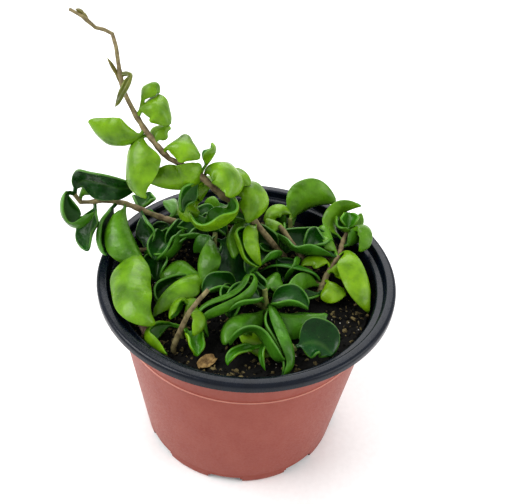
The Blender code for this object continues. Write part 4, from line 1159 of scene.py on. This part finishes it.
def twig_curve(stem, route):
    """The stem's line, with a swollen joint at each leaf."""
    x, y, _ = stem.route[0]
    fine = []
    places = list(route) if stem.fork_of else [Vector((x, y, SOIL_TOP - ROOT_DEPTH)), *route]
    for start, end in zip(places, places[1:]):
        fine.extend(start.lerp(end, step / TWIG_STEPS) for step in range(TWIG_STEPS))
    fine.append(places[-1])
    curve = bpy.data.curves.new(stem.name, "CURVE")
    curve.dimensions = "3D"
    spline = curve.splines.new("POLY")
    spline.points.add(len(fine) - 1)
    total = route_length(route)
    passed = 0.0 if stem.fork_of else -(route[0] - places[0]).length
    joints = [leaf.at for leaf in stem.leaves]
    for index, place in enumerate(fine):
        if index:
            passed += (place - fine[index - 1]).length
        share = min(1.0, max(0.0, passed / total))
        radius = stem.radii[0] + (stem.radii[1] - stem.radii[0]) * share
        swell = max([math.exp(-((passed - at) / JOINT_REACH) ** 2) for at in joints] or [0.0])
        spline.points[index].co = (*(place * MM), 1.0)
        spline.points[index].radius = radius * (0.94 + JOINT_SWELL * swell)
    return new_object(stem.name, curve)


def turned(name, profile, segments):
    """An object whose profile, in (radius, height) pairs, is turned round the upright axis."""
    shape = bmesh.new()
    corners = [shape.verts.new((radius * MM, 0.0, height * MM)) for radius, height in profile]
    for start, end in zip(corners, corners[1:]):
        shape.edges.new((start, end))
    thing = new_object(name, mesh_of(shape, name))
    screw = thing.modifiers.new("turn", "SCREW")
    screw.steps = screw.render_steps = segments
    screw.use_merge_vertices = True
    screw.merge_threshold = 0.01 * MM
    return thing


def thicken(thing, thickness, even=False):
    """Gives the object's surface this thickness in millimetres, half of it to each side."""
    shell = thing.modifiers.new("thickness", "SOLIDIFY")
    shell.thickness = thickness * MM
    shell.offset = 0.0
    shell.use_even_offset = even


def rounded(corner, start, end, steps):
    """Points that round a corner between two neighbours of it."""
    corner, start, end = Vector(corner), Vector(start), Vector(end)
    shares = [step / steps for step in range(steps + 1)]
    return [tuple(start * (1 - t) ** 2 + corner * 2 * t * (1 - t) + end * t**2) for t in shares]


def pot_profile():
    """The middle of the sheet, from the lip over the rim, down the wall and in to the floor's middle."""
    half = 0.5 * SHEET
    lip, top, mouth = RIM_RADIUS - half, POT_HEIGHT - half, MOUTH_RADIUS + half
    ledge = POT_HEIGHT - RIM_DROP - half
    shoulder, foot = SHOULDER_RADIUS - half, FOOT_RADIUS - half
    slope = (shoulder - foot) / (ledge - half)
    band = shoulder - STACK_STEP
    step = shoulder - slope * (ledge - STACK_STEP_HEIGHT)
    low = FLOOR_HEIGHT - half
    return [
        (lip, POT_HEIGHT - RIM_DROP),
        *rounded((lip, top), (lip, top - RIM_ROUND), (lip - RIM_ROUND, top), 6),
        *rounded((mouth, top), (mouth + 1.0, top), (mouth, top - 1.0), 5),
        *rounded((mouth - 0.5, ledge), (mouth - 0.2, ledge + 0.9), (mouth - 1.4, ledge - 0.2), 4),
        *rounded((band, ledge - 0.5), (band + 0.8, ledge - 0.4), (band - 0.1, ledge - 1.4), 4),
        (step - STACK_STEP, STACK_STEP_HEIGHT + STACK_STEP_FALL),
        (step, STACK_STEP_HEIGHT),
        (step - 0.3, STACK_STEP_HEIGHT - 4.0),
        (foot + slope * FOOT_BAND, FOOT_BAND),
        (foot + slope * FOOT_BAND - FOOT_BAND_STEP, FOOT_BAND - FOOT_BAND_STEP),
        *rounded((foot, half), (foot + 0.2, half + 1.4), (foot - 1.0, half), 4),
        (foot - FOOT_WIDTH, half),
        (foot - FOOT_WIDTH - 1.0, low),
        (PAD_RADIUS + 2.0, low),
        (PAD_RADIUS, half),
        (0.0, half),
    ]


def notch_cutters():
    """A round-topped block for each drain notch in the foot."""
    notches = bpy.data.collections.new("drain_notches")
    bpy.context.scene.collection.children.link(notches)
    inner, outer = FOOT_RADIUS - FOOT_WIDTH - 4.0, FOOT_RADIUS + 3.0
    for number in range(NOTCHES):
        turn = math.radians(NOTCH_TURN - 90 + number * 360 / NOTCHES)
        shape = bmesh.new()
        bmesh.ops.create_cube(shape, size=1.0)
        place = Matrix.Rotation(turn, 4, "Z") @ Matrix.Translation((0.5 * (inner + outer) * MM, 0.0, 0.0))
        size = Matrix.Diagonal(((outer - inner) * MM, NOTCH_WIDTH * MM, 2 * NOTCH_HEIGHT * MM, 1.0))
        bmesh.ops.transform(shape, matrix=place @ size, verts=shape.verts)
        tops = [e for e in shape.edges if min(e.verts[0].co.z, e.verts[1].co.z) > 0.0]
        bmesh.ops.bevel(shape, geom=tops, offset=NOTCH_ROUND * MM, segments=4, affect="EDGES")
        mesh = mesh_of(shape, "drain_notch")
        notches.objects.link(bpy.data.objects.new("drain_notch_%d" % number, mesh))
    return notches


def soil_mesh():
    """The potting mix down to the pot's floor, with a lumpy top that is finer than the solid's."""
    edge = SHOULDER_RADIUS - SHEET - SEAT_GAP - STACK_STEP - 1.6
    low_edge = FOOT_RADIUS - FOOT_WIDTH - 0.5 * SHEET
    profile = [(edge * ring / SOIL_RINGS, SOIL_TOP) for ring in range(SOIL_RINGS + 1)]
    profile += [(low_edge, FLOOR_HEIGHT + SEAT_GAP), (0.0, FLOOR_HEIGHT + SEAT_GAP)]
    mesh = settled_mesh(turned("potting_mix", profile, SOIL_SEGMENTS))
    for vert in mesh.vertices:
        if vert.co.z > 0.5 * SOIL_TOP * MM:
            place = vert.co / MM
            lump = noise.noise(Vector((place.x, place.y, 0.0)) / SOIL_LUMP)
            crumb = noise.fractal(place / CRUMB_SPACING, 0.9, 2.0, 4)
            vert.co.z = (SOIL_TOP + SOIL_RELIEF * lump + CRUMB_RELIEF * crumb) * MM
    return mesh


def top_of(mesh):
    """A copy of the mesh's top faces alone, to scatter crumbs on."""
    shape = bmesh.new()
    shape.from_mesh(mesh)
    low = [face for face in shape.faces if face.normal.z < 0.3]
    bmesh.ops.delete(shape, geom=low, context="FACES")
    return mesh_of(shape, "mix_surface")


def mesh_tree(mesh):
    points = [vert.co / MM for vert in mesh.vertices]
    return BVHTree.FromPolygons(points, [tuple(face.vertices) for face in mesh.polygons])


def rest_on(tree, mesh, centre, turn):
    """Turns the mesh and sets it on the surface in the tree, just clear of its highest point there."""
    mesh.transform(Matrix.Rotation(math.radians(turn), 4, "Z"))
    low = min(vert.co.z for vert in mesh.vertices)
    high = -math.inf
    for vert in mesh.vertices:
        above = Vector((centre[0] + vert.co.x / MM, centre[1] + vert.co.y / MM, POT_HEIGHT))
        hit = tree.ray_cast(above, Vector((0.0, 0.0, -1.0)))[0]
        if hit:
            high = max(high, hit.z - (vert.co.z - low) / MM)
    mesh.transform(Matrix.Translation((centre[0] * MM, centre[1] * MM, (high + SEAT_GAP) * MM - low)))


def colour_setting(name, description, colour):
    return bpy.props.FloatVectorProperty(
        name=name, description=description, subtype="COLOR", min=0.0, max=1.0, default=linear(colour)[:3],
    )


def number_setting(name, description, default, **limits):
    return bpy.props.FloatProperty(
        name=name, description=description, default=default, **{"min": 0.0, **limits},
    )


class PLANT_PG_leaves(bpy.types.PropertyGroup):
    old_above: colour_setting("Old leaf, upper side", "Colour of an old leaf's upper side", "#08420a")
    new_above: colour_setting("New leaf, upper side", "Colour of a new leaf's upper side", "#529708")
    old_below: colour_setting("Old leaf, underside", "Colour of an old leaf's underside", "#3f7c24")
    new_below: colour_setting("New leaf, underside", "Colour of a new leaf's underside", "#88b010")
    margin: colour_setting("Margin", "Colour of the hard pale edge of every leaf", "#64933a")


class PLANT_PG_pot(bpy.types.PropertyGroup):
    outside: colour_setting("Outside", "Colour of the pot's outer skin", "#873d30")
    inside: colour_setting("Inside and rim", "Colour of the pot's rim and inner skin", "#070d18")


class PLANT_PG_mix(bpy.types.PropertyGroup):
    peat_density: number_setting("Peat crumbs", "Peat crumbs on each square metre", 130000.0)
    bark_density: number_setting("Bark bits", "Bits of bark on each square metre", 90000.0)
    perlite_density: number_setting("Perlite", "Perlite grains on each square metre", 12000.0)
    crumb_size: number_setting(
        "Largest crumb", "Size of the largest crumb", 2.2 * MM, subtype="DISTANCE", unit="LENGTH",
    )


class PLANT_PG_stage(bpy.types.PropertyGroup):
    floor_width: number_setting(
        "Floor width", "Width of the studio floor", 12.0, min=1.0, subtype="DISTANCE", unit="LENGTH",
    )
    key_power: number_setting("Key light", "Power of the large soft light", 7.5, unit="POWER")


class PLANT_OT_pot(bpy.types.Operator):
    """Make the thin nursery pot: terracotta outside, black inside, with drain notches in its foot"""

    bl_idname = "plant.pot"
    bl_label = "Pot"

    def execute(self, context):
        look = context.scene.plant_pot
        pot = turned("nursery_pot", pot_profile(), POT_SEGMENTS)
        thicken(pot, SHEET, even=True)
        notches = notch_cutters()
        cut = pot.modifiers.new("notches", "BOOLEAN")
        cut.operation = "DIFFERENCE"
        cut.operand_type = "COLLECTION"
        cut.collection = notches
        cut.solver = "MANIFOLD"
        mesh = settled_mesh(pot)
        for cutter in list(notches.objects):
            bpy.data.objects.remove(cutter)
        bpy.data.collections.remove(notches)
        mesh.materials.clear()
        for name, colour, dust_and_highlight_tint, roughness in (
            ("terracotta_polystyrene", (*look.outside, 1.0), "#985546", 0.4),
            ("black_polystyrene", (*look.inside, 1.0), "#16202e", 0.24),
            # The third is a painted highlight: a paler pink for the ledge of the stacking step, standing in for
            # the bright line that light would give there
            ("painted_highlight_polystyrene", linear("#cf9486"), "#dcab9e", 0.5),
        ):
            mesh.materials.append(plastic_material(name, colour, linear(dust_and_highlight_tint), roughness))
        self.paint(mesh)
        mesh.shade_smooth()
        mesh.set_sharp_from_angle(angle=math.radians(SHARP_ANGLE))
        add_piece("nursery_pot", mesh, "pot", "pot")
        return {"FINISHED"}

    def paint(self, mesh):
        """Black for the rim and the inside, and a painted highlight, a paler pink, on the step that stacks."""
        black_from = (POT_HEIGHT - RIM_DROP - BLACK_BELOW_RIM) * MM
        painted_highlight_height = (STACK_STEP_HEIGHT + 0.5 * STACK_STEP_FALL) * MM
        for face in mesh.polygons:
            outwards = face.normal.x * face.center.x + face.normal.y * face.center.y
            inside = outwards < 0.0 and abs(face.normal.z) < 0.9 or face.normal.z > 0.99
            if face.center.z > black_from or inside:
                face.material_index = 1
            # The upward faces of the stacking step get the painted highlight
            elif face.normal.z > 0.6 and abs(face.center.z - painted_highlight_height) < MM:
                face.material_index = 2


class PLANT_OT_mix(bpy.types.Operator):
    """Make the potting mix, with its crumbs of peat, bark and perlite"""

    bl_idname = "plant.mix"
    bl_label = "Potting mix"

    def execute(self, context):
        look = context.scene.plant_mix
        mesh = soil_mesh()
        peat = earth_material("damp_peat", "#040404", "#1a1815", 1.6)
        bark = earth_material("composted_bark", "#2a2216", "#93855c", 1.8)
        perlite = earth_material("perlite_grain", "#b9b3a2", "#e9e6dc", 0.8, 0.8)
        top = top_of(mesh)
        mesh.materials.clear()
        mesh.materials.append(peat)
        mesh.shade_smooth()
        add_piece("peat_bed", mesh, "mix", "potting_mix")
        tree = crumb_tree()
        for name, density, smallest, largest, flatness, material, seed in (
            ("peat_crumbs", look.peat_density, 0.35, 1.3, 0.7, peat, 11),
            ("bark_bits", look.bark_density, 0.25, 1.5, 0.4, bark, 12),
            ("perlite", look.perlite_density, 0.2, 0.55, 0.8, perlite, 13),
        ):
            crumbs = run_tree(
                new_object(name, top.copy()), tree, Density=density, Smallest=smallest * look.crumb_size,
                Largest=largest * look.crumb_size, Flatness=flatness, Seed=seed, Material=material,
            )
            add_piece(name, crumbs, "mix")
        return {"FINISHED"}


class PLANT_OT_litter(bpy.types.Operator):
    """Make the bark chips and the dry scrap of leaf that lie on the mix"""

    bl_idname = "plant.litter"
    bl_label = "Chips and dry leaf"

    def execute(self, context):
        ground = mesh_tree(bpy.data.objects["peat_bed"].data)
        bark = earth_material("weathered_bark_chip", "#5b453c", "#a48b7b", 2.0)
        # Without a seed, the noise that roughens the chips would change with the clock
        noise.seed_set(CHIP_SEED)
        for number, (centre, turn, size) in enumerate(BARK_CHIPS, start=1):
            mesh = self.chip_mesh(number, size)
            rest_on(ground, mesh, centre, turn)
            mesh.materials.append(bark)
            mesh.shade_smooth()
            mesh.set_sharp_from_angle(angle=math.radians(CHIP_SHARP_ANGLE))
            add_piece("weathered_chip_%d" % number, mesh, "twig", "bark_chip_%d" % number)
        scrap = self.scrap_mesh()
        rest_on(ground, scrap, SCRAP_CENTRE, SCRAP_TURN)
        scrap.materials.append(earth_material("dry_leaf_tissue", "#5a4426", "#a98e5c", 2.5, 0.7))
        scrap.shade_smooth()
        add_piece("dry_scrap", scrap, "dry_leaf", "dry_leaf_scrap")
        return {"FINISHED"}

    def chip_mesh(self, number, size):
        """A block of this size with a broken, fibrous surface of its own."""
        shape = bmesh.new()
        bmesh.ops.create_cube(shape, size=1.0)
        bmesh.ops.subdivide_edges(shape, edges=shape.edges, cuts=11, use_grid_fill=True)
        for vert in shape.verts:
            shake = noise.noise_vector(vert.co * 2.3 + Vector((number * 7.0, 0.0, 0.0)))
            fibre = noise.noise(Vector((vert.co.x * 1.5, vert.co.y * 12.0, number + vert.co.z * 6.0)))
            vert.co += CHIP_ROUGHNESS * shake + vert.co.normalized() * CHIP_FIBRE * fibre
            vert.co = Vector([share * length * MM for share, length in zip(vert.co, size)])
        return mesh_of(shape, "bark_chip")

    def scrap_mesh(self):
        """A dry, oval and curled sheet."""
        length, width = SCRAP_SIZE
        shape = bmesh.new()
        bmesh.ops.create_grid(shape, x_segments=28, y_segments=20, size=1.0)
        for vert in shape.verts:
            x, y = vert.co.x, vert.co.y
            outline = math.sqrt(1.0 - 0.7 * x * x)
            rise = 1.8 * y * y + 0.8 * math.sin(2.0 * x + y) + 0.15 * math.sin(9.0 * x)
            vert.co = Vector((0.5 * length * x, 0.5 * width * y * outline, rise)) * MM
        sheet = new_object("dry_scrap", mesh_of(shape, "dry_scrap"))
        thicken(sheet, 0.5 * SCRAP_THICKNESS)
        return settled_mesh(sheet)


class PLANT_OT_plant(bpy.types.Operator):
    """Make the stems and settle every leaf on them, clear of its neighbours"""

    bl_idname = "plant.stems_and_leaves"
    bl_label = "Stems and leaves"

    def execute(self, context):
        leaf_look = leaf_material(context.scene.plant_leaves)
        corky, green = twig_material("corky_stem", 0.25), twig_material("green_stem", 0.9)
        stems = (*STEMS, TWIG_STUB)
        routes, settled = settle_leaves(stems)
        tree = bark_tree()
        bodies = {}
        for stem in stems:
            bodies.setdefault(stem.fork_of or stem.name, []).append(stem)
        for body, members in bodies.items():
            bark, slot = (corky, "twig") if body in CORKY_STEMS else (green, "leaf_green")
            twigs, leaves = [], []
            for stem in members:
                thing = twig_curve(stem, routes[stem.name])
                twigs.append(run_tree(
                    thing, tree, Roughness=BARK_RELIEF * MM, Grain=BARK_GRAIN * MM, Material=bark,
                ))
                for leaf, base, phase in settled[stem.name]:
                    tone = leaf.tone if leaf.tone >= 0.0 else stem.tone
                    leaves.append(leaf_mesh(leaf, base, phase, tone))
            add_piece(body + "_twig", joined(body + "_twig", twigs, bark), slot, body)
            if leaves:
                slot = "leaf_lime" if members[0].tone > 0.5 else "leaf_green"
                add_piece(body + "_leaves", joined(body + "_leaves", leaves, leaf_look), slot, body)
        return {"FINISHED"}


class PLANT_OT_stage(bpy.types.Operator):
    """Make the white floor, the soft studio lights and the camera"""

    bl_idname = "plant.stage"
    bl_label = "Stage"

    def execute(self, context):
        settings = context.scene.plant_stage
        shape = bmesh.new()
        bmesh.ops.create_grid(shape, x_segments=2, y_segments=2, size=0.5 * settings.floor_width)
        floor = new_object("studio_floor", mesh_of(shape, "studio_floor"))
        floor.data.materials.append(stage_material())
        for name, place, size, share in LIGHTS:
            light = bpy.data.lights.new(name, "AREA")
            light.shape = "DISK"
            light.size = size
            light.energy = share * settings.key_power
            lamp = new_object(name, light)
            lamp.location = place
            lamp.rotation_euler = (Vector(LIT_POINT) - Vector(place)).to_track_quat("-Z", "Y").to_euler()
        world = bpy.data.worlds.new("studio")
        context.scene.world = world
        world.use_nodes = True
        sky = world.node_tree.nodes["Background"]
        sky.inputs["Color"].default_value = (1.0, 1.0, 1.0, 1.0)
        sky.inputs["Strength"].default_value = SKY_STRENGTH
        self.add_camera(context)
        return {"FINISHED"}

    def add_camera(self, context):
        back = seen((0.0, 90.0))
        turn = Matrix((seen((VIEW_ROLL, 0.0)), seen((VIEW_ROLL + 90.0, 0.0)), back)).transposed().to_4x4()
        turn.translation = Vector(VIEW_TARGET) + back * VIEW_DISTANCE
        lens = bpy.data.cameras.new("camera")
        lens.sensor_width = SENSOR_WIDTH
        lens.lens = FOCAL_PIXELS / FRAME_PIXELS * SENSOR_WIDTH
        lens.clip_start = 0.01
        camera = new_object("camera", lens)
        camera.matrix_world = turn
        context.scene.camera = camera
        context.scene.view_settings.view_transform = "Standard"
        context.scene.view_settings.look = "Medium High Contrast"


class PLANT_PT_panel(bpy.types.Panel):
    """Lists the plant's pieces in the sidebar"""

    bl_idname = "PLANT_PT_panel"
    bl_label = "Hindu Rope Plant"
    bl_space_type = "VIEW_3D"
    bl_region_type = "UI"
    bl_category = "Plant"

    def draw(self, context):
        for operator, group in PANEL_ROWS:
            self.layout.operator(operator.bl_idname)
            if group is None:
                continue
            settings = getattr(context.scene, group)
            for name in settings.__annotations__:
                self.layout.prop(settings, name)


PANEL_ROWS = (
    (PLANT_OT_stage, "plant_stage"),
    (PLANT_OT_pot, "plant_pot"),
    (PLANT_OT_mix, "plant_mix"),
    (PLANT_OT_litter, None),
    (PLANT_OT_plant, "plant_leaves"),
)
GROUPS = {
    "plant_leaves": PLANT_PG_leaves,
    "plant_pot": PLANT_PG_pot,
    "plant_mix": PLANT_PG_mix,
    "plant_stage": PLANT_PG_stage,
}
CLASSES = (*GROUPS.values(), *(operator for operator, _ in PANEL_ROWS), PLANT_PT_panel)


def register():
    for cls in CLASSES:
        bpy.utils.register_class(cls)
    for name, group in GROUPS.items():
        setattr(bpy.types.Scene, name, bpy.props.PointerProperty(type=group))


def unregister():
    for name in GROUPS:
        delattr(bpy.types.Scene, name)
    for cls in reversed(CLASSES):
        bpy.utils.unregister_class(cls)


def main():
    register()
    bpy.ops.plant.stage()
    bpy.ops.plant.pot()
    bpy.ops.plant.mix()
    bpy.ops.plant.litter()
    bpy.ops.plant.stems_and_leaves()


if __name__ == "__main__":
    main()
